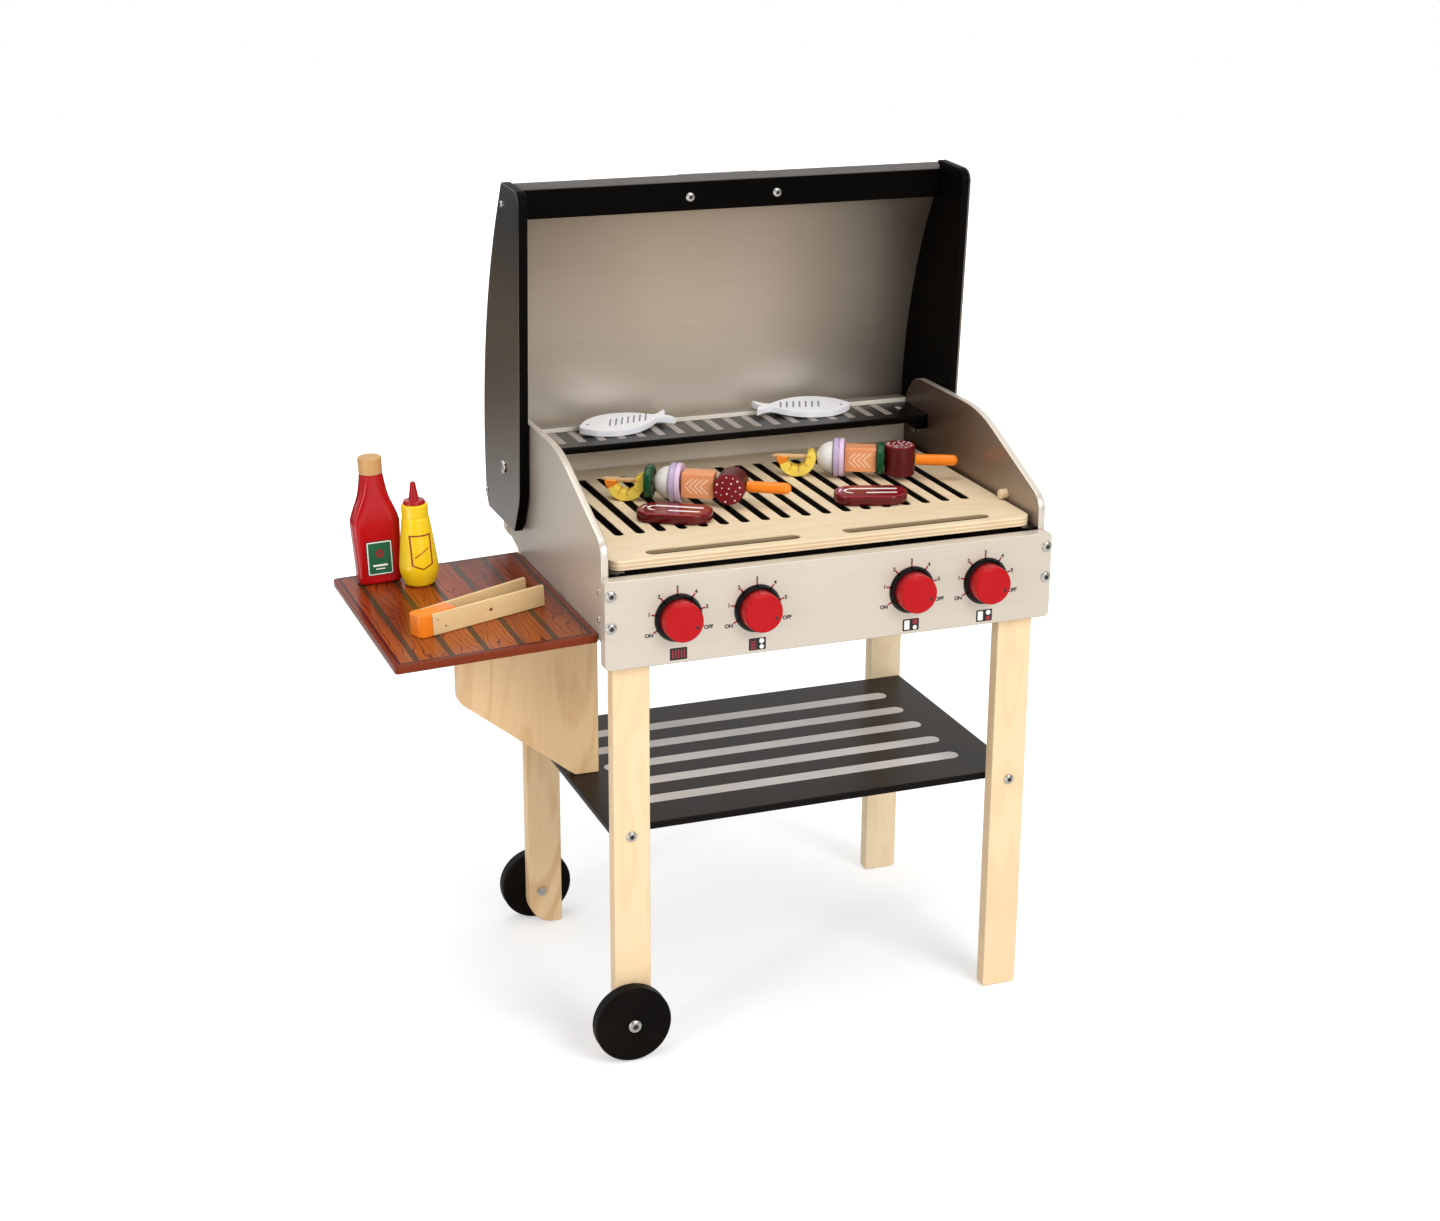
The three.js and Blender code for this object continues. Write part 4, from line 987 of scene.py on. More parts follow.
pair = grate.row(
    2,
    grate.vector(grate["Side"] * -1, ahead, grate["Thick"] - grate["Cut"]),
    grate.vector(grate["Side"] * 2),
)
groove = grate.fill(grate.capsule(grate["Groove"], grate["Wide"], grate["Wide"] * 0.5))
tools = grate.repeat(pair, grate.shell(groove, grate["Cut"] * 2))
tools = grate.node("GeometryNodeRealizeInstances", None, {0: tools})
carved = grate.node(
    "GeometryNodeMeshBoolean", {"operation": "DIFFERENCE", "solver": "EXACT"}, {0: body, 1: tools}
)
grate.end(carved)
grate_middle = (grate_low + grate_high) / 2
grate_piece = grate.make(
    "slotted_grate",
    lying((grate_middle.x, grate_middle.y, grate_low.z)),
    Length=(grate_high.x - grate_low.x) / MM,
    Depth=(grate_high.y - grate_low.y) / MM,
    Corner=10.0,
    Thick=(grate_high.z - grate_low.z) / MM,
    Count=18,
    Pitch=18.72,
    Slot=172.0,
    Width=8.5,
    Back=30.0,
    Groove=135.3,
    Side=87.05,
    Front=15.4,
    Wide=14.0,
    Cut=4.4,
)
smooth(grate_piece, sharp=40, bevel=0.8, segments=3)
stand_for(grate_piece, "bare_wood", birch_grate, "cooking_grate")
print("grate", len(grate_piece.data.polygons), "faces")

# %% [markdown]
# ## Printed stripes
# The warming rack and the lower shelf are black boards with silver stripes that stand for a wire
# rack. They are printed, so they are only a tenth of a millimetre high.

# %% Stripes
PRINT = 0.1
bars = Recipe("bars", Int="Count", Vector="Start Step", Float="Length Width Corner Thick")
bar = bars.fill(bars.capsule(bars["Length"], bars["Width"], bars["Corner"]))
bar = bars.shell(bar, bars["Thick"])
bars.end(bars.repeat(bars.row(bars["Count"], bars["Start"], bars["Step"]), bar))
rack_print = painted("rack_print", "#9C928A", "#ABA29A", 0.34, 0.3)
shelf_print = painted("shelf_print", "#E6DDD6", "#F0E8E2", 0.34, 0.5)
rack_stripes = bars.make(
    "rack_stripes",
    lying(at(0, 264.25, 477.3)),
    Count=18,
    Start=(-8.5 * 18.6, 0, 0),
    Step=(18.6, 0, 0),
    Length=7.0,
    Width=38.5,
    Corner=1.2,
    Thick=PRINT,
)
dress(rack_stripes, "frame", "silver_panel", rack_print)
shelf_stripes = bars.make(
    "shelf_stripes",
    lying(at(0, 71.5, 204.9)),
    Count=5,
    Start=(0, 0, 0),
    Step=(0, 38.9, 0),
    Length=308.0,
    Width=15.0,
    Corner=7.4,
    Thick=PRINT,
)
dress(shelf_stripes, "frame", "silver_panel", shelf_print)
print("stripes", len(rack_stripes.data.polygons) + len(shelf_stripes.data.polygons), "faces")

# %% [markdown]
# ## Screws and bolts
# Button-head screws hold the boards, and bolts hold the wheels and the hood. One head is modelled
# with its dome and its hexagon socket, and the recipe repeats it at each place with a turn that
# differs, as no two screws stop alike.


# %% Screw recipe
def head_rings(radius, height, sides=24, socket=0.36):
    """From the floor of the socket, over the dome, to the edge under the head."""
    hexagon = radius * socket
    dome = [(0.62, 1.0), (0.84, 0.84), (0.96, 0.5), (1.0, 0.22), (0.97, 0.0)]
    return [
        ring(hexagon, height * 0.35, sides, corners=6),
        ring(hexagon, height * 0.98, sides, corners=6),
        *(ring(radius * out, height * up, sides) for out, up in dome),
    ]


SCREW_RADIUS = 4.7
screw = smooth(loft("screw", head_rings(SCREW_RADIUS, 2.2), Matrix(), marked=2), sharp=50)
screws = Recipe("screws", Object="Screw", Int="Seed", Float="Size")
head = screws.node("GeometryNodeObjectInfo", None, {"Object": screws["Screw"]}, output="Geometry")
stop = screws.node(
    "FunctionNodeRandomValue",
    {"data_type": "FLOAT"},
    {2: 0.0, 3: math.pi / 3, "Seed": screws["Seed"]},
    output=1,
)
size = screws.vector(screws["Size"], screws["Size"], screws["Size"])
screws.end(screws.repeat(screws["Geometry"], head, Rotation=screws.vector(0, 0, stop), Scale=size))


def fasten(name, body, place, spots, seed, radius=SCREW_RADIUS):
    """Screws at the spots of a face."""
    mesh = bpy.data.meshes.new(name)
    mesh.from_pydata([(x, y, 0) for x, y in spots], [], [])
    size = radius / SCREW_RADIUS
    piece = screws.make(name, place, mesh, Screw=screw, Seed=seed, Size=size)
    return dress(piece, body, "bolt_metal", screw_metal)


print("screw head", 2 * SCREW_RADIUS, "mm across")

# %% [markdown]
# ### Where the screws are
# Four hold the control panel, four the back panel, and two of each pair of legs hold the shelf.
# The handle, the rack, the cheeks and the side panels have smaller ones. A face's X runs to the
# right for someone who looks at it, so on the sides it is the way to the back, or its opposite.

# %% Screws in place
BOX_SCREWS = [(side * 194.9, level) for side in (-1, 1) for level in (417.6, 390.5)]
LEG_SCREWS = [(-175, 201.2), (175, 201.2)]
fasten("panel_screws", "frame", face("front", at(0, 0, 0)), BOX_SCREWS, 1)
BACK_SCREWS_RISE = 28.3
back_screws = [(x, level + BACK_SCREWS_RISE) for x, level in BOX_SCREWS]
fasten("back_panel_screws", "frame", face("back", at(0, 298, 0)), back_screws, 2)
fasten("front_leg_screws", "frame", face("front", at(0, 12.3, 0)), LEG_SCREWS, 3)
fasten("back_leg_screws", "frame", face("back", at(0, 285.7, 0)), LEG_SCREWS, 4)
RAIL_SCREWS = [(-40.8, 690.4), (40.8, 690.4)]
fasten("handle_screws", "hood", face("front", at(0, 240, 0)), RAIL_SCREWS, 5, 4.2)
fasten("rack_screws", "frame", lying(at(0, 0, 477.3)), [(-176.4, 264), (176.4, 264)], 6, 3.6)
for side, sign in (("left", -1), ("right", 1)):
    cheek = face(side, at(sign * 208.8, 0, 0))
    spots = [(sign * 246.4, 692.3), (sign * 316.8, 420.9)]
    fasten(side + "_cheek_screws", "hood", cheek, spots, 7, 2.8)
    panel = face(side, at(sign * 198.85, 0, 0))
    spots = [(sign * 18.5, level) for level in (416, 393)]
    fasten(side + "_panel_screws", "frame", panel, spots, 8, 2.6)
for side, sign in (("right", -1), ("left", 1)):
    inner = face(side, at(sign * 192.35, 0, 0))
    fasten(side + "_stop_screw", "frame", inner, [(-sign * 254, 457)], 9, 2.2)
bpy.data.objects.remove(screw)

# %% [markdown]
# ### Bolts
# A bolt is one loft from the socket in its head, down its shank and over the nut to its tip, where
# a small recess shows that it is turned. Four of them stand for the solids' bolts and nuts.

# %% Bolts
BOLT_HEAD, SHANK, RECESS, TIP = 6, 2.6, 1.4, 1.2


def bolt(node, side, origin, shank, head_height, nut_radius, nut_height, socket):
    """A bolt whose head looks to a side: the head above 0, the shank and the nut below it."""
    rings = head_rings(BOLT_HEAD, head_height, 36, socket)
    rings += [ring(SHANK, 0, 36), ring(SHANK, -shank, 36)]
    rings += [ring(nut_radius, -shank - level, 36, corners=6) for level in (0, nut_height - TIP)]
    rings += [ring(SHANK, -shank - level, 36) for level in (nut_height - TIP, nut_height)]
    rings += [ring(RECESS, -shank - level, 36) for level in (nut_height, nut_height - TIP)]
    piece = smooth(loft(node + "_turned", rings, face(side, origin), marked=2), sharp=40)
    return stand_for(piece, "bolt_metal", screw_metal, node)


AXLE = (-178.5, 33.5)
bolt("axle_bolt_front", "front", at(AXLE[0], -3.5, AXLE[1]), 29.1, 2.6, 4.8, 4.5, 0.34)
bolt("axle_bolt_back", "back", at(AXLE[0], 303.4, AXLE[1]), 29.1, 2.6, 4.8, 4.5, 0.34)
HINGE = (257.3, 457.9)
bolt("hood_hinge_bolt_left", "left", at(-209.1, *HINGE), 17.05, 2.4, 4.6, 4, 0.12)
bolt("hood_hinge_bolt_right", "right", at(209.1, *HINGE), 17.05, 2.4, 4.6, 4, 0.12)
print("axle", AXLE, "hinge", HINGE, "mm")

# %% [markdown]
# ## Wheels
# Each wheel is a turned disc with rounded edges and a bored hub. On a lathe its section would be
# cut in one go, and a closed loft through circles does the same.

# %% Wheels
WHEEL_RADIUS, WHEEL_WIDTH, BORE = 33.5, 15, 3.3
for node, side, back in (("wheel_front", "front", 11.8), ("wheel_back", "back", 286.2)):
    rim = [(WHEEL_RADIUS, 0, 3), (WHEEL_RADIUS, WHEEL_WIDTH, 3)]
    profile = rounded([(BORE, 0, 0.5), *rim, (BORE, WHEEL_WIDTH, 0.5)])
    place = face(side, at(AXLE[0], back, AXLE[1]))
    wheel = smooth(lathe(node + "_turned", profile, place, 96, closed=True))
    stand_for(wheel, "wheel_black", wheel_paint, node)
    print(node, len(wheel.data.polygons), "faces")

# %% [markdown]
# ## Knobs and dials
# A knob is a red cap over a thin black skirt, turned in one piece with its stem and the collar that
# keeps it behind the panel. The cap's side is painted darker towards the skirt as shade, and a
# small dark disc, painted shade for the pit, marks where it points.

# %% Knobs
OFF_ANGLE, TICK_STEP = -23, 38.3
CAP_BASE, CAP_RIM, CAP_LEVEL, SKIRT, SKIRT_LEVEL = 17.0, 16.3, 16.3, 18.6, 1.8
STEM, COLLAR, COLLAR_LEVELS = 4, 7, (-17.3, -12.3)
knob_black = painted("knob_black", "#3A0A0C", "#480E10", 0.45)
print_black = painted("print_black", "#0C0A09", "#171310", 0.42)
print_red = painted("print_red", "#8E1A22", "#A0232A", 0.40)
print_white = painted("print_white", "#EDEBE6", "#F6F4F0", 0.40)
low, high = COLLAR_LEVELS
collar = [(0, low), (COLLAR, low, 0.6), (COLLAR, high, 0.6), (STEM, high), (STEM, 0.3)]
skirt = [(SKIRT, 0.3), (SKIRT, SKIRT_LEVEL - 0.4, 0.3), (CAP_BASE, SKIRT_LEVEL)]
top = [(CAP_RIM, CAP_LEVEL, 2.2), (0, CAP_LEVEL)]
knob_profile = rounded(collar + skirt + top, closed=False, steps=6)
knob_places = {}
for number in (1, 2, 3, 4):
    low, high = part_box(f"knob_{number}")
    place = face("front", ((low.x + high.x) / 2, PANEL_FRONT, (low.z + high.z) / 2))
    knob_places[number] = place
    f = Finish(f"knob_{number}_paint", place)
    clouds = f.noise(0.02, detail=3)
    colour = f.over(
        f.mix(clouds, "#AE0C14", "#BC1219"),
        # Painted shade: the cap's side darker towards the skirt.
        (f.z.ramp(12, 1), "#2A0306"),
        (f.z.ramp(SKIRT_LEVEL + 0.3, SKIRT_LEVEL), "#0C0706"),
    )
    knob_paint = f.shade(colour, clouds * 0.12 + 0.22, (f.noise(0.26), 0.00001), level=0.15)
    cap = smooth(lathe(f"knob_{number}_turned", knob_profile, place, 72), sharp=50)
    stand_for(cap, "red_paint", knob_paint, f"knob_{number}")
    off = math.radians(OFF_ANGLE)
    # The dark disc is painted shade for the pit that marks where the knob points.
    spot = disc(11.2 * math.cos(off), 11.2 * math.sin(off), 1.5)
    dot = plates(f"knob_{number}_dot", [spot], CAP_LEVEL - 0.05, CAP_LEVEL + 0.08, place)
    dress(dot, f"knob_{number}", "red_paint", knob_black)
print("knobs", len(knob_places))

# %% [markdown]
# ### Dials
# A dial is printed on the panel round each knob: a black ring, seven red ticks that run out from
# under the cap, and the words OFF and ON with the numerals between them. The ticks follow a rule,
# so a recipe makes them. The words are Blender's text, turned into a mesh.

# %% Dial ticks
ticks = Recipe("ticks", Int="Count", Float="First Turn Reach Length Width")
index = ticks.node("GeometryNodeInputIndex")
angle = ticks["First"] + index * ticks["Turn"]
circle = ticks.vector(angle.math("COSINE") * ticks["Reach"], angle.math("SINE") * ticks["Reach"])
line = ticks.node("GeometryNodeMeshLine", None, {"Count": ticks["Count"]})
points = ticks.node("GeometryNodeSetPosition", None, {"Geometry": line, "Position": circle})
tick_size = ticks.vector(ticks["Length"], ticks["Width"], 2 * PRINT)
tick = ticks.node("GeometryNodeMeshCube", None, {"Size": tick_size})
ticks.end(ticks.repeat(points, tick, Rotation=ticks.vector(0, 0, angle)))
print("ticks", TICK_STEP, "degrees apart")


# %% Lettering
LETTER_SIZE, LETTER_WEIGHT = 4.5, 0.20


def lettering(name, words, place):
    """Flat raised words, given as (text, x, y)."""
    shape = bmesh.new()
    for text, x, y in words:
        curve = bpy.data.curves.new(name, "FONT")
        curve.body, curve.size, curve.offset = text, LETTER_SIZE, LETTER_WEIGHT
        curve.align_x = curve.align_y = "CENTER"
        curve.extrude = PRINT / 2
        holder = link(name, curve)
        mesh = evaluated(holder)
        mesh.transform(shift(x, y, PRINT / 2))
        shape.from_mesh(mesh)
        bpy.data.objects.remove(holder)
        bpy.data.meshes.remove(mesh)
    bmesh.ops.remove_doubles(shape, verts=shape.verts, dist=0.001)
    bmesh.ops.transform(shape, matrix=place, verts=shape.verts)
    return built(name, shape)


print("letters", LETTER_SIZE, "mm high")

# %% Dials
WORDS = ["OFF", "5", "4", "3", "2", "1", "ON"]
DIAL_INNER, DIAL_OUTER, TICK_REACH, TICK_LENGTH, TICK_WIDTH = 5, 20.6, 20.4, 7.0, 1.5
DIGIT_REACH, WORD_REACH = 25.6, 28.2
for number, place in knob_places.items():
    base = [(DIAL_INNER, 0), (DIAL_OUTER, 0), (DIAL_OUTER, PRINT), (DIAL_INNER, PRINT)]
    dial = lathe(f"dial_{number}_ring", base, place, 72, closed=True)
    dress(dial, "frame", "silver_panel", print_black)
    marks = ticks.make(
        f"dial_{number}_ticks",
        place,
        Count=len(WORDS),
        First=math.radians(OFF_ANGLE),
        Turn=math.radians(TICK_STEP),
        Reach=TICK_REACH,
        Length=TICK_LENGTH,
        Width=TICK_WIDTH,
    )
    dress(marks, "frame", "silver_panel", print_red)
    words = []
    for step, text in enumerate(WORDS):
        angle = math.radians(OFF_ANGLE + TICK_STEP * step)
        reach = DIGIT_REACH if len(text) == 1 else WORD_REACH
        words.append((text, reach * math.cos(angle), reach * math.sin(angle)))
    dress(lettering(f"dial_{number}_words", words, place), "frame", "silver_panel", print_black)
print("dials", len(knob_places))

# %% [markdown]
# ## Burner signs
# Under each knob a small black sign says which burner it turns: flames, a grid or plates. These
# are plain shapes of this script's own.

# %% Burner signs
SIGN_LEVEL = 362.3
plate = rectangle(-3.6, 0, 4.8, 8.2, 0.6)
SIGNS = {
    1: {"red": [rectangle(-5 + 2.5 * k, 0, 1.1, 7.2, 0.4) for k in range(5)]},
    2: {
        "red": [rectangle(-3.6, 1.9 - 2.6 * k, 4.6, 1.7, 0.3) for k in range(3)],
        "white": [disc(3.8, 2.4, 2.2), disc(3.8, -2.6, 1.9)],
    },
    3: {"red": [rectangle(3.8, 2.3, 4.2, 4.0, 0.5)], "white": [plate, disc(3.8, -2.7, 1.9)]},
    4: {"red": [rectangle(3.8, -2.7, 4.2, 3.4, 0.5)], "white": [plate, disc(3.8, 2.4, 2.2)]},
}
SIGN_INKS = {"red": print_red, "white": print_white}
for number, shapes in SIGNS.items():
    low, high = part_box(f"knob_{number}")
    place = face("front", ((low.x + high.x) / 2, PANEL_FRONT, SIGN_LEVEL * MM))
    base = plates(f"sign_{number}_base", [rectangle(0, 0, 15, 10.5, 0.8)], 0, PRINT, place)
    dress(base, "frame", "silver_panel", print_black)
    for ink, outlines in shapes.items():
        mark = plates(f"sign_{number}_{ink}", outlines, PRINT, 2 * PRINT, place)
        dress(mark, "frame", "silver_panel", SIGN_INKS[ink])
print("signs", len(SIGNS))

# %% [markdown]
# ## Side table
# The table is one board with a printed top: red-brown planks that run from front to back, olive
# gaps between them, curved grain lines and a dark border. The print is a sum on the board's own
# axes. Each plank has its own shade, which comes from a random number for the plank's number.

# %% Side table
TABLE_TILT = math.degrees(-0.04)
TABLE_WIDTH, TABLE_FRONT, TABLE_BACK = 167.2, 18.5, 252.0
PLANK, GAP = 28.6, 2.5
BORDER, BORDER_LINE = 4.6, 1.3
table = Matrix.Translation(at(-199.43, 0, 380.2)) @ rotation(TABLE_TILT, "Y") @ SCALE
f = Finish("table_print", table)
from_left = f.x + TABLE_WIDTH
plank = (from_left + PLANK / 2 - BORDER) / PLANK
own = f.node("ShaderNodeTexWhiteNoise", {"noise_dimensions": "1D"}, {"W": plank.math("FLOOR")})
plank_shift = f.vector(own * 90, own * 400, 0)
moved = f.node("ShaderNodeVectorMath", {"operation": "ADD"}, {0: f.place, 1: plank_shift})
flames = f.node("ShaderNodeMapping", None, {"Vector": moved, "Scale": (0.050, 0.012, 0)})
waves = {"Vector": flames, "Scale": 1, "Detail": 1.5, "Distortion": 0.7}
flames = f.node("ShaderNodeTexNoise", None, waves)
fine = f.noise((0.9, 0.02, 0), detail=3)
curves = ((f.x * 0.17 + flames * 5) % 1 - 0.5).within(0.060, 0.045)
wood = f.over(
    f.mix(own * 0.55 + fine * 0.45, "#6A1D09", "#9E4418"),
    (flames.ramp(0.35, 0.75) * 0.5, "#B25A20"),
    (f.y.ramp(150, 40) * 0.3, "#BE7232"),
    (f.x.ramp(-75, -5) * 0.45, "#4A1208"),
    (curves * 0.8, "#3C0A06"),
)
gap = (plank % 1 - 0.5).within(0.5 - GAP / PLANK, 0.004)
wood = f.mix(gap, "#4A3320", wood)
from_side = TABLE_WIDTH / 2 - abs(f.x + TABLE_WIDTH / 2)
from_end = (TABLE_BACK - TABLE_FRONT) / 2 - abs(f.y - (TABLE_BACK + TABLE_FRONT) / 2)
from_edge = from_side.math("MINIMUM", from_end)
rim = f.mix(fine, "#6A2610", "#823617")
wood = f.mix(from_edge.ramp(BORDER - 0.3, BORDER), rim, wood)
wood = f.mix((from_edge - BORDER).within(BORDER_LINE, 0.2), wood, "#4A120D")
table_print = f.shade(wood, fine * 0.08 + 0.18, (gap * 0.3 + fine * 0.2, 0.00003), level=0.12)
board("side_table", "table_print", table_print)
print("table", round(TABLE_WIDTH), "mm wide")

# %% [markdown]
# ## Bottles
# The ketchup bottle is a flat block with sloping shoulders, so its rings are squares with very
# round corners that turn into circles at the neck. Its cap is bare wood, and its label is thin
# layers of plain shapes of this script's own.


# %% Ketchup bottle
def squircle(half_width, half_depth, level, power, sides=72):
    """A ring that is nearly square for a high power and round for a power of 2."""
    points = []
    for side in range(sides):
        angle = math.tau * side / sides
        ways = math.cos(angle), math.sin(angle)
        x, y = (math.copysign(abs(way) ** (2 / power), way) for way in ways)
        points.append(Vector((half_width * x, half_depth * y, level)))
    return points


ketchup = table @ shift(-131.5, 228, 0.3)
stops = [
    (18.6, 10, 2.6, 5.5),
    (19.4, 10, 25, 5.5),
    (20.6, 10, 50, 5.5),
    (20.2, 10, 57, 5),
    (17.3, 10, 66, 4),
    (14.2, 10, 74, 3.2),
    (12.4, 10, 81, 2.6),
    (11.0, 10, 90, 2.1),
    (10.1, 9.9, 97, 2),
]
bottom = [(16.2, 7.6, 0, 4.5), (17.6, 9.0, 0.6, 5), (18.4, 9.8, 1.6, 5.5)]
rings = [squircle(*stop) for stop in bottom + flow(stops)]
bottle = smooth(loft("ketchup_body", rings, ketchup))
stand_for(bottle, "red_paint", red_paint, "ketchup_bottle")
print("ketchup bottle", len(rings), "rings")

# %% Cap and label
profile = rounded([(0, 97.2), (10.1, 97.2, 0.5), (10.3, 112, 1.8), (0, 112)], closed=False)
cap_wood = birch("cap_wood", "Z", "#D2A368", "#BF8B50")
cap = smooth(lathe("ketchup_cap", profile, ketchup))
dress(cap, "ketchup_bottle", "bare_wood", cap_wood)
label = ketchup @ shift(0, -9.95, 23.6) @ rotation(90, "X")
label_dark = painted("label_dark", "#12211A", "#1B2C23", 0.4)
label_green = painted("label_green", "#0E5A3A", "#146945", 0.38)
sheets = [(23, 31, 1.8, label_dark), (21.4, 29.4, 1.3, print_white), (19.4, 27.4, 0.8, label_green)]
for layer, (width, height, corner, finish) in enumerate(sheets):
    low, high = layer * PRINT, (layer + 1) * PRINT + (0.05 if layer == 0 else 0)
    name = f"ketchup_label_{layer}"
    sheet = plates(name, [rectangle(0, 0, width, height, corner)], low, high, label)
    dress(sheet, "ketchup_bottle", "red_paint", finish)
petals = [disc(2.6 * math.cos(a), 4 + 2.6 * math.sin(a), 1.5) for a in (0.3, 1.6, 2.8, 4.1, 5.4)]
mark = plates("ketchup_label_flower", petals, 3 * PRINT, 4 * PRINT, label)
dress(mark, "ketchup_bottle", "red_paint", print_red)
lines = [rectangle(0, -6.5, 13, 1.8, 0.8), rectangle(0, -9.6, 8, 1.0, 0.5)]
mark = plates("ketchup_label_lines", lines, 3 * PRINT, 4 * PRINT, label)
dress(mark, "ketchup_bottle", "red_paint", print_white)
print("label", round(4 * PRINT, 1), "mm thick")

# %% [markdown]
# ### Mustard bottle
# The mustard bottle is turned, with a waist, a collar and a red nozzle. A thin brown shield with a
# slash is printed on its front, drawn as lines in its finish.

# %% Mustard bottle
mustard = table @ shift(-100.5, 207, 0.3)
BELLY = [(14.6, 5), (16.3, 10.5), (16.9, 15.5), (16.4, 22), (14.6, 38), (12.4, 55), (11.6, 59.4)]
BODY_TOP = 71.6
collar = rounded(
    [(11.0, 60.2), (11.4, 61.2, 0.5), (11.4, BODY_TOP, 1.4), (0, BODY_TOP)], closed=False
)
profile = [(0, 0), (11.4, 0), (12.6, 0.7), (13.3, 1.8), *flow(BELLY), *collar]
f = Finish("mustard_paint", mustard)
clouds = f.noise(0.02, detail=3)
yellow = f.mix(clouds, "#F4C80C", "#FAD628")
front_side = f.y.ramp(-2, -4)
top_side = f.z - 46
slope = abs(f.x) * 0.42
lower_side = 17 - f.z + slope
shield = (abs(f.x) - 8.6).math("MAXIMUM", top_side).math("MAXIMUM", lower_side)
line = shield.within(0.7, 0.15) * front_side
slash = (f.z - 31 - f.x * 0.62).within(0.7, 0.2) * (abs(f.x) - 6.4).ramp(0.3, -0.3) * front_side
ink = f.mix(clouds, "#8A2A10", "#A23A18")
yellow = f.mix(line.math("MAXIMUM", slash * 0.8), yellow, ink)
mustard_paint = f.shade(yellow, clouds * 0.08 + 0.13, (f.noise(0.26), 0.00003), level=0.35)
bottle = smooth(lathe("mustard_body", profile, mustard, 72))
stand_for(bottle, "yellow_paint", mustard_paint, "mustard_bottle")
turns = [k * math.pi / 10 for k in (1, 2, 3, 4)]
profile = [
    *rounded([(0, 71.7), (9.4, 71.7, 0.4), (9.2, 74.8, 1.2), (4.9, 75.2)], closed=False),
    *flow([(4.5, 75.6), (3.9, 79), (3.1, 84), (2.6, 87.5), (2.5, 88.8)]),
    *[(2.5 * math.cos(turn), 88.8 + 2.4 * math.sin(turn)) for turn in turns],
    (0, 91.2),
]
nozzle = smooth(lathe("mustard_nozzle", profile, mustard, 48))
dress(nozzle, "mustard_bottle", "red_paint", cap_red)
print("mustard bottle", profile[-1][1], "mm high")

# %% [markdown]
# ## Tongs
# Two thin birch arms are nailed to an orange block, so that they spring. The block is a plate with
# round back corners, and the nails and the dot halfway along are small flat discs.

# %% Tongs
tongs = table @ shift(-125.5, 82, 0.3) @ rotation(19.2, "Z")
SPLAY, ARM = 2.55, 3.3
BLOCK_BACK, BLOCK_FRONT, BLOCK_HALF = -12, 24, 6.6
front_half = BLOCK_HALF + BLOCK_FRONT * math.tan(math.radians(SPLAY))
upper = [
    (BLOCK_FRONT, front_half),
    (0, BLOCK_HALF),
    (0, BLOCK_HALF + ARM),
    (BLOCK_BACK, BLOCK_HALF + ARM, 6),
]
corners = [(x, -y, *corner) for x, y, *corner in reversed(upper)] + upper
block = smooth(plates("tongs_wedge", [rounded(corners)], 0, 18.6, tongs), sharp=35, bevel=0.8)
stand_for(block, "orange_paint", orange_paint, "tongs_block")
nail_metal = painted("nail_metal", "#8E7B60", "#A8987C", 0.3, 0.8)
dot_brown = painted("dot_brown", "#7A2F1C", "#8E3C24", 0.45)
for name, sign in (("front", -1), ("back", 1)):
    board(f"tongs_{name}_arm", "bare_wood", birch_arm)
    arm = tongs @ shift(0, sign * BLOCK_HALF, 0) @ rotation(sign * SPLAY, "Z")
    outside = arm @ shift(0, sign * ARM, 0) @ rotation(90, "X") @ Matrix.Scale(-sign, 4, (0, 0, 1))
    nails = [disc(5, 13, 0.9, 16), disc(12, 6, 0.9, 16)]
    dots = [disc(55, 9.3, 1.5, 20)]
    for kind, outlines, finish in (("nails", nails, nail_metal), ("dot", dots, dot_brown)):
        piece = plates(f"tongs_{name}_{kind}", outlines, -0.05, PRINT, outside)
        dress(piece, f"tongs_{name}_arm", "bare_wood", finish)
print("tongs open by", 2 * SPLAY, "degrees")

# %% [markdown]
# ## Kebabs
# Six kinds of turned or sawn food are threaded on a stick with an orange handle. Each kebab has
# its own axes: X runs along the stick from its tip, and the food is made where the order of the
# pieces puts it. The kebabs differ in that order, and in which way the sausage slice lies.

# %% Kebab axes
RACK_FRONT = 231.7
KEBAB_LEVEL = 458.0
STICK_TIP, FOOD_GAP = 5, 0.3
LENGTHS = {
    "shrimp": 34.8,
    "pepper": 6.4,
    "mushroom": 15.2,
    "onion": 9.6,
    "salmon": 28.6,
    "sausage": 27.2,
}
KEBABS = {
    1: (
        lying(at(-140, RACK_FRONT - 38.7, KEBAB_LEVEL), -30.9),
        ["shrimp", "pepper", "mushroom", "onion", "salmon", "sausage"],
    ),
    2: (
        lying(at(28, RACK_FRONT - 18.7, KEBAB_LEVEL), -25.5),
        ["shrimp", "mushroom", "onion", "salmon", "pepper", "sausage"],
    ),
}
ALONG = rotation(90, "Y")
print("food on a stick", round(sum(LENGTHS.values()) + 5 * FOOD_GAP, 1), "mm")

# %% [markdown]
# ### Shrimp
# The shrimp is a crescent sawn from a board. Its inner edge has a notch at each ring of its shell,
# and its tail, painted orange, flares. Warm patches are printed beside the notches.


# %% Shrimp
SHRIMP_RADIUS, SHRIMP_INNER, SHRIMP_DEPTH = 17.4, 8.8, 13.5
TAIL, HEAD, NOTCHES = 178, 385, 5


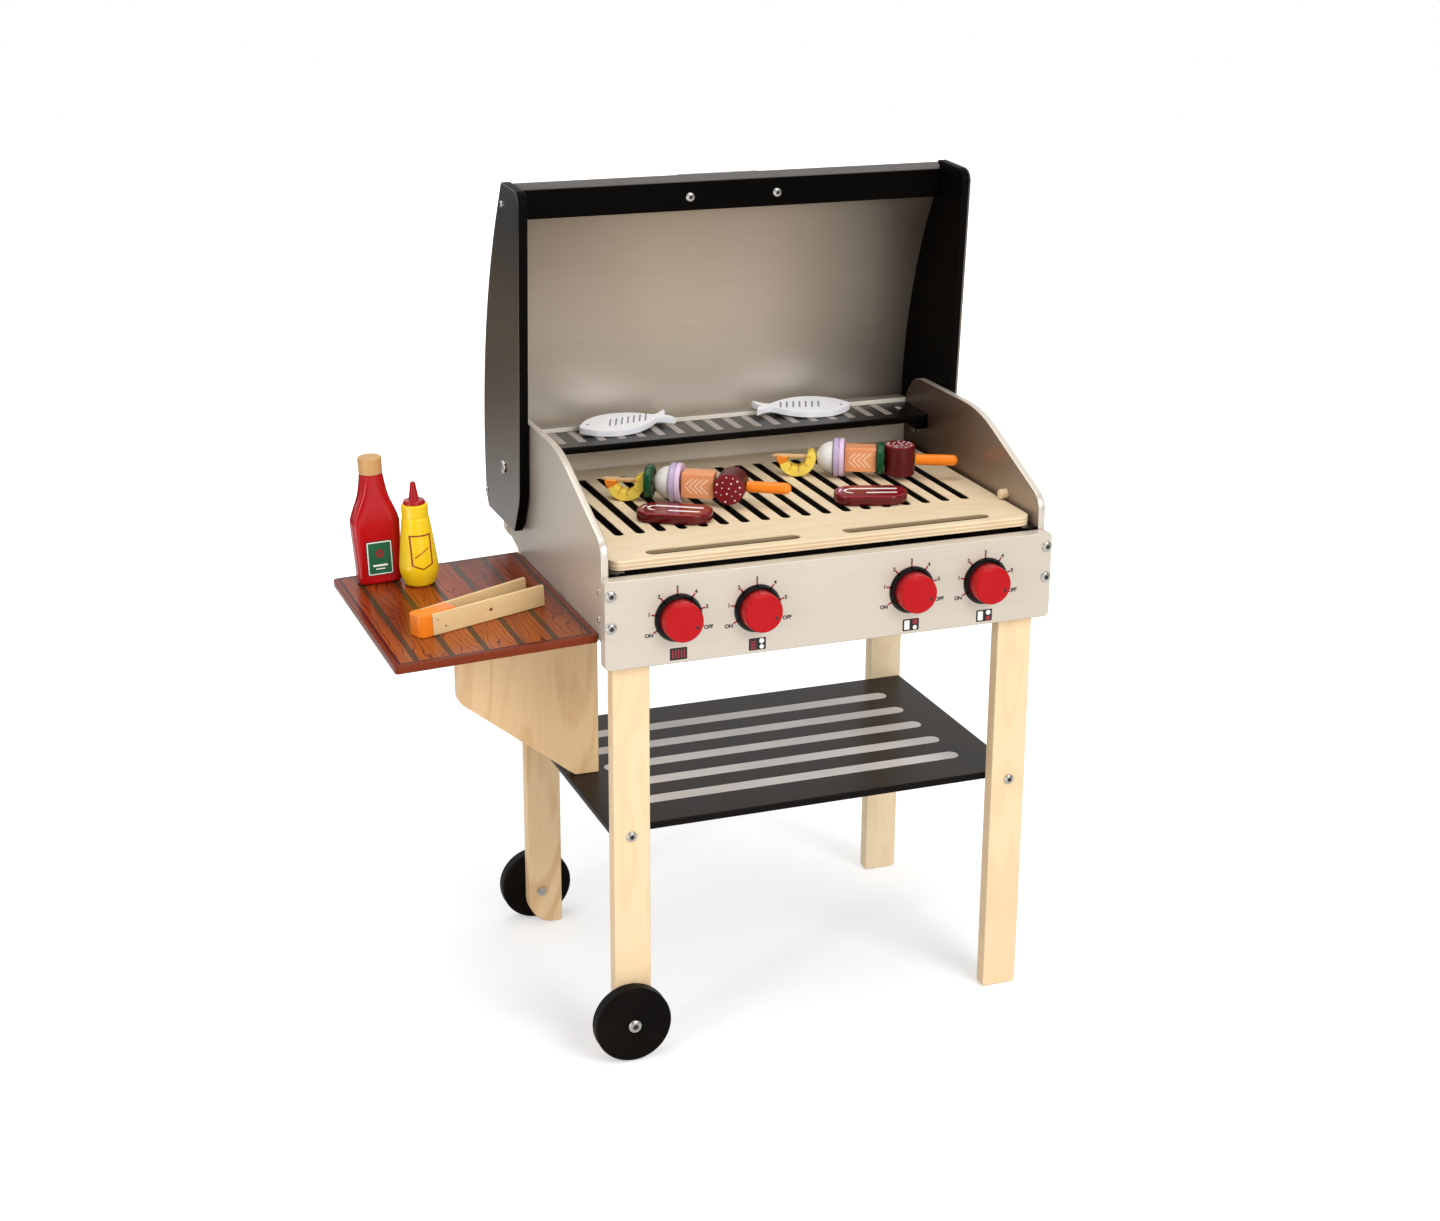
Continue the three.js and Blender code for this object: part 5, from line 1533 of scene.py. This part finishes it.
def shrimp(name, axes):
    middle = axes @ shift(SHRIMP_RADIUS) @ rotation(90, "X")
    outer, inner = [], []
    for step in range(61):
        share = step / 60
        angle = math.radians(TAIL + (HEAD - TAIL) * share)
        way = Vector((math.cos(angle), math.sin(angle)))
        flare = math.exp(-((share / 0.06) ** 2)) - 1.6 * math.exp(-(((share - 0.13) / 0.05) ** 2))
        notch = max(0, math.cos(math.tau * (NOTCHES * share - 0.5))) ** 8
        blunt = 2.2 * max(0, share - 0.9) / 0.1
        outer.append(way * (SHRIMP_RADIUS + 0.6 * flare - blunt))
        inner.append(way * (SHRIMP_INNER - 0.4 * flare + 1.3 * notch + blunt))
    half = SHRIMP_DEPTH / 2
    piece = plates(name + "_carved", [outer + inner[::-1]], -half, half, middle)
    f = Finish(name + "_paint", middle)
    turn = (f.y.math("ARCTAN2", f.x) / math.tau + 1) % 1 * 360
    share = ((turn + 360 - TAIL) % 360) / (HEAD - TAIL)
    reach = f.distance(f.x, f.y)
    clouds = f.noise(0.12)
    from_notch = (share * NOTCHES) % 1 - 0.5
    patch = from_notch.within(0.14, 0.08) * reach.ramp(15, 10)
    crease = from_notch.within(0.02, 0.015) * reach.ramp(14.5, 12)
    colour = f.over(
        f.mix(clouds, "#FCD83E", "#FFE66C"),
        (patch * 0.45, "#DB8A2C"),
        (crease * 0.5, "#A9651C"),
        (share.ramp(0.14, 0.11), "#F2871B"),
    )
    finish = f.shade(colour, clouds * 0.1 + 0.28, (clouds - crease, 0.0002))
    return smooth(piece, sharp=50, bevel=0.9), "shrimp_paint", finish


print("shrimp", 2 * SHRIMP_RADIUS, "mm across")


# %% [markdown]
# ### Pepper, mushroom and onion
# These three are turned about the stick. The pepper ring has a gently lobed edge, so it is a loft
# through wavy rings. The mushroom is a dome with a flat underside. The onion slice is two rings
# with a groove between them, and its faces are dished as if it were cut from a round onion.


# %% Pepper
def pepper(name, axes):
    steps = [(0, 10.6, 1.0), (0, 11.6, 0), (0.2, 13.6, 0), (0.2, 14.3, 0.7), (0.2, 14.5, 1.6)]
    steps += [(d, r, 6.4 - z) for d, r, z in reversed(steps)]
    rings = [ring(r, z, 72, lobes=9, depth=d) for d, r, z in steps]
    piece = loft(name + "_carved", rings, axes @ ALONG)
    f = Finish(name + "_paint", axes)
    lines = f.noise((0.5, 0.05, 0.05), detail=3)
    rim = f.distance(f.y, f.z).ramp(11, 13)
    colour = f.mix(rim * 0.6 + lines * 0.4, "#062E16", "#0B4E27")
    finish = f.shade(colour, lines * 0.12 + 0.24, (lines, 0.0002), level=0.3)
    return smooth(piece, sharp=50), "green_paint", finish


print("pepper", LENGTHS["pepper"], "mm along the stick")


# %% Mushroom
def mushroom(name, axes):
    radius, height = 14.6, LENGTHS["mushroom"]
    turns = [k * math.pi / 32 for k in range(16)]
    dome = [(radius * math.sin(turn), height * (1 - math.cos(turn))) for turn in turns]
    edge = [(radius, height - 0.8), (radius - 0.8, height)]
    underside = [(6, height), (4, height - 1.2), (0, height - 1.2)]
    piece = lathe(name + "_carved", dome + edge + underside, axes @ ALONG, 64)
    f = Finish(name + "_paint", axes)
    clouds = f.noise(0.1, detail=3)
    # Painted shade: the dome greyer towards its lower side.
    colour = f.mix(f.z.ramp(2, -14) * 0.35, f.mix(clouds, "#DAD5CF", "#EFECE8"), "#9C948A")
    finish = f.shade(colour, clouds * 0.12 + 0.34, (clouds, 0.0001))
    return smooth(piece, sharp=40), "white_paint", finish


print("mushroom", LENGTHS["mushroom"], "mm along the stick")


# %% Onion
def onion(name, axes):
    length, radius, groove = LENGTHS["onion"], 17.4, 1.2
    edge = [
        (16.6, 0),
        (radius, 0.4, 0.4),
        (radius, length / 2 - 0.9, 0.5),
        (radius - groove, length / 2, 0.2),
        (radius, length / 2 + 0.9, 0.5),
        (radius, length - 0.4, 0.4),
        (16.6, length),
    ]
    profile = [
        (0, 2.2),
        *flow([(8, 1.4), (13, 0.6), (16.4, 0)], 4),
        *rounded(edge, closed=False, steps=3),
        *flow([(16.4, length), (13, length - 0.6), (8, length - 1.4)], 4),
        (0, length - 2.2),
    ]
    piece = lathe(name + "_carved", profile, axes @ ALONG, 72)
    f = Finish(name + "_paint", axes)
    reach = f.distance(f.y, f.z)
    rings = (reach / 3.2 % 1 - 0.5).within(0.16, 0.1)
    clouds = f.noise(0.1)
    # Painted shade: the first ring is a darker lilac than the second.
    second = (f.x - length / 2).ramp(-0.3, 0.3)
    colour = f.over(
        f.mix(second, "#A89AB8", "#D9BBD6"),
        (clouds * 0.4, "#E6CDE2"),
        (rings * reach.ramp(16.6, 15) * 0.4, "#8C6E9C"),
    )
    finish = f.shade(colour, clouds * 0.12 + 0.3, (rings, 0.0001))
    return smooth(piece, sharp=50), "lilac_paint", finish


print("onion", LENGTHS["onion"], "mm along the stick")


# %% [markdown]
# ### Salmon
# The salmon is a sawn block. Its front and back faces are printed with pale chevrons, nested like
# the flakes of a fillet.


# %% Salmon
def salmon(name, axes):
    length, height, depth = LENGTHS["salmon"], 22, 17.6
    middle = axes @ shift(length / 2) @ rotation(90, "X")
    outline = rectangle(0, 0, length, height, 1.4)
    piece = plates(name + "_carved", [outline], -depth / 2, depth / 2, middle)
    f = Finish(name + "_paint", middle)
    clouds = f.noise((0.08, 0.3, 0.1), detail=3)
    colour = f.mix(clouds, "#E08A55", "#EDA472")
    bend = f.x - abs(f.y) * 1.05
    chevron = ((bend + 9) / 4.6 % 1 - 0.5).within(0.17, 0.05)
    span = (abs(f.x) - 10.5).ramp(0.6, -0.6) * (abs(f.y) - 6.5).ramp(0.6, -0.6)
    nested = bend.ramp(-12.2, -11.8) * bend.ramp(5.2, 4.8)
    on_face = abs(f.z).ramp(depth / 2 - 0.5, depth / 2 - 0.3)
    colour = f.mix(chevron * span * nested * on_face * 0.85, colour, "#F7D9BC")
    finish = f.shade(colour, clouds * 0.1 + 0.32, (clouds, 0.0001))
    return smooth(piece, sharp=50, bevel=1.0), "salmon_paint", finish


print("salmon", LENGTHS["salmon"], "mm along the stick")


# %% [markdown]
# ### Sausage
# A slice of sausage is a short turned cylinder that the stick crosses. Pale dots of fat are
# printed on its two faces: the recipe strews points that keep their distance from each other.

# %% Sausage dots
dots = Recipe("dots", Float="Radius Gap Smallest Largest", Int="Seed")
field = dots.node(
    "GeometryNodeMeshCircle", {"fill_type": "NGON"}, {"Vertices": 48, "Radius": dots["Radius"]}
)
strewn = dots.node(
    "GeometryNodeDistributePointsOnFaces",
    {"distribute_method": "POISSON"},
    {"Mesh": field, "Distance Min": dots["Gap"], "Density Max": 0.8, "Seed": dots["Seed"]},
)
spot = dots.node(
    "GeometryNodeMeshCylinder",
    None,
    {"Vertices": 14, "Side Segments": 1, "Radius": 1.0, "Depth": PRINT},
)
width = dots.node(
    "FunctionNodeRandomValue",
    {"data_type": "FLOAT"},
    {2: dots["Smallest"], 3: dots["Largest"], "Seed": dots["Seed"]},
    output=1,
)
dots.end(dots.repeat(strewn, spot, Scale=dots.vector(width, width, 1)))
dot_white = painted("dot_white", "#E9DAD6", "#F6ECE8", 0.36)
print("dots lie", PRINT, "mm thick")


# %% Sausage
SAUSAGES = {
    "kebab_1": {"roll": 90, "gap": 4.6, "small": 0.45, "large": 0.95},
    "kebab_2": {"roll": 0, "gap": 3.2, "small": 0.8, "large": 1.25},
}


def sausage(name, axes):
    radius, half = LENGTHS["sausage"] / 2, 13.5
    body = name.removesuffix("_sausage")
    own = SAUSAGES[body]
    middle = axes @ shift(radius) @ rotation(own["roll"], "X")
    corners = [(0, -half), (radius, -half, 1), (radius, half, 1), (0, half)]
    piece = lathe(name + "_carved", rounded(corners, closed=False), middle, 72)
    for end, turn, seed in (("front", 0, 4), ("back", 180, 2)):
        spots = dots.make(
            f"{name}_dots_{end}",
            middle @ rotation(turn, "X") @ shift(z=half + PRINT / 4),
            Radius=radius - 2.4,
            Gap=own["gap"],
            Seed=seed,
            Smallest=own["small"],
            Largest=own["large"],
        )
        dress(spots, body, "meat_paint", dot_white)
    f = Finish(name + "_paint", middle)
    clouds = f.noise(0.2, detail=3)
    skin, meat = f.mix(clouds, "#4A0A0E", "#5E1014"), f.mix(clouds, "#6E0E16", "#821620")
    colour = f.mix(abs(f.z).ramp(half - 0.9, half - 0.4), skin, meat)
    finish = f.shade(colour, clouds * 0.1 + 0.3, (clouds, 0.0001), level=0.3)
    return smooth(piece, sharp=50), "meat_paint", finish


print("sausages roll by", [own["roll"] for own in SAUSAGES.values()])

# %% [markdown]
# ### Threading
# The pieces go on the stick in the kebab's own order, each a hair's breadth after the last one.
# The bare stick shows at its tip only, and the orange handle has a round end.

# %% Threading the kebabs
MAKERS = {maker.__name__: maker for maker in (shrimp, pepper, mushroom, onion, salmon, sausage)}
STICK, HANDLE, HANDLE_LENGTH = 2, 5, 38.5
for number, (axes, foods) in KEBABS.items():
    reached = STICK_TIP
    for food in foods:
        name = f"kebab_{number}_{food}"
        piece, slot, finish = MAKERS[food](name, axes @ shift(reached))
        stand_for(piece, slot, finish, name)
        reached += LENGTHS[food] + FOOD_GAP
    stick = [(0, 0), (0.8, 0.2), (STICK, STICK_TIP), (STICK, reached), (0, reached)]
    stick = smooth(lathe(f"kebab_{number}_stick", stick, axes @ ALONG, 24), sharp=50)
    stick_wood = birch(f"stick_{number}_wood", "X", "#D9B98A", "#C79F68")
    dress(stick, f"kebab_{number}", "bare_wood", stick_wood)
    end = reached + HANDLE_LENGTH
    turns = [k * math.pi / 16 for k in range(8)]
    round_end = [(HANDLE * math.cos(turn), end - HANDLE * (1 - math.sin(turn))) for turn in turns]
    grip = [(0, reached + 0.02), (HANDLE - 0.5, reached + 0.02), (HANDLE, reached + 0.5)]
    handle = lathe(f"kebab_{number}_handle", [*grip, *round_end, (0, end)], axes @ ALONG, 40)
    stand_for(smooth(handle, sharp=50), "orange_paint", orange_paint, f"kebab_{number}_skewer")
print("kebabs", len(KEBABS))

# %% [markdown]
# ## Steaks
# A steak is a sawn slab with unequal round corners. White streaks of fat are printed on its top:
# one long and one short line inside the outline, and two hooks at one end.

# %% Steaks
STEAKS = {1: (-101, 119.7, -30), 2: (77.5, 125.7, -17)}
for number, (right, ahead, turn) in STEAKS.items():
    axes = lying(at(right, RACK_FRONT - ahead, 440.6), turn)
    corners = [(-32, -18, 14), (32, -18, 17.5), (32, 18, 14), (-32, 18, 17.5)]
    name = f"steak_{number}"
    slab = smooth(plates(name + "_slab", [rounded(corners, steps=14)], 0, 9, axes), 40, 2.0, 4)
    f = Finish(name + "_paint", axes)
    clouds = f.noise(0.09, detail=3)
    side, top = f.mix(clouds, "#4C080D", "#600D12"), f.mix(clouds, "#740B14", "#88131D")
    hook = ((f.x + 16) * (f.x + 16) + f.y * f.y * 1.1).math("SQRT") - 6.6
    hook = hook.within(1.3, 0.3) * (f.x + 16).ramp(1, -1) * f.y.ramp(7, 5)
    broken = (f.y + 1.5).ramp(-0.8, 0.8).math("MAXIMUM", f.y.ramp(-2.5, -3.5))
    fat = f.streak(f.y - 6.2 + f.x * 0.03, f.x - 3, 19, 2.0, 0.3)
    for more in (
        f.streak(f.y + 6.0, f.x - 9, 12, 1.7, 0.3),
        hook * broken,
        f.streak(f.x + 27 - f.y * 0.3, f.y - 2, 3.2, 0.8, 0.3),
    ):
        fat = fat.math("MAXIMUM", more)
    colour = f.mix(fat * f.z.ramp(8.4, 8.8), f.mix(f.z.ramp(6.6, 8.6), side, top), "#FBF4F0")
    finish = f.shade(colour, clouds * 0.08 + 0.10, (clouds, 0.0001), level=0.35)
    stand_for(slab, "meat_paint", finish, name)
print("steaks", len(STEAKS))

# %% [markdown]
# ## Fish
# A fish is sawn to a leaf outline with a forked tail. Both fish lean on the back panel's edge, so
# they lie on a plane that climbs from the rack. Seven slate-blue slits and an eye are printed.

# %% Fish
CLIMB = 7.48
FISH_LEAN = 68.7
FISH = {1: (-91, 20.5, 9), 2: (83, 21.5, 171)}
back = [(-45.8, 0.0), (-43.0, 4.5), (-33, 13.4), (-18.2, 19.2), (0, 19.4)]
back += [(16.5, 13.4), (30.5, 3.7)]
tail = [(36, 4.7), (45.8, 12.3), (44.0, 5.1), (39.3, 0)]
upper = [*flow(back, 7), *tail]
lower = [(x, -y) for x, y in reversed(upper[1:-1])]
for number, (x, rise, turn) in FISH.items():
    plane = Matrix.Translation(at(0, 254, 477.6)) @ rotation(CLIMB, "X") @ SCALE
    axes = plane @ shift(x, rise) @ rotation(turn, "Z")
    name = f"fish_{number}"
    body = smooth(plates(name + "_sawn", [upper + lower], 0.1, 6, axes), 50, 0.9)
    f = Finish(name + "_paint", axes)
    clouds = f.noise(0.06, detail=3)
    lean = f.x - f.y / math.tan(math.radians(FISH_LEAN - turn))
    across = (lean + 18) % 6 - 3
    slits = f.streak(across, f.y, 6.5, 0.9, 0.25) * (abs(lean - 2) - 20.5).ramp(0.3, -0.3)
    eye = f.streak(f.x + 36, f.y - 3.2, 0, 1.3, 0.2)
    white = f.mix(clouds, "#F4F5FA", "#FDFDFF")
    colour = f.over(white, (slits * 0.9, "#5F6F90"), (eye, "#3C4658"))
    finish = f.shade(colour, clouds * 0.1 + 0.3, (clouds - slits, 0.0002))
    stand_for(body, "white_paint", finish, name)

# %% [markdown]
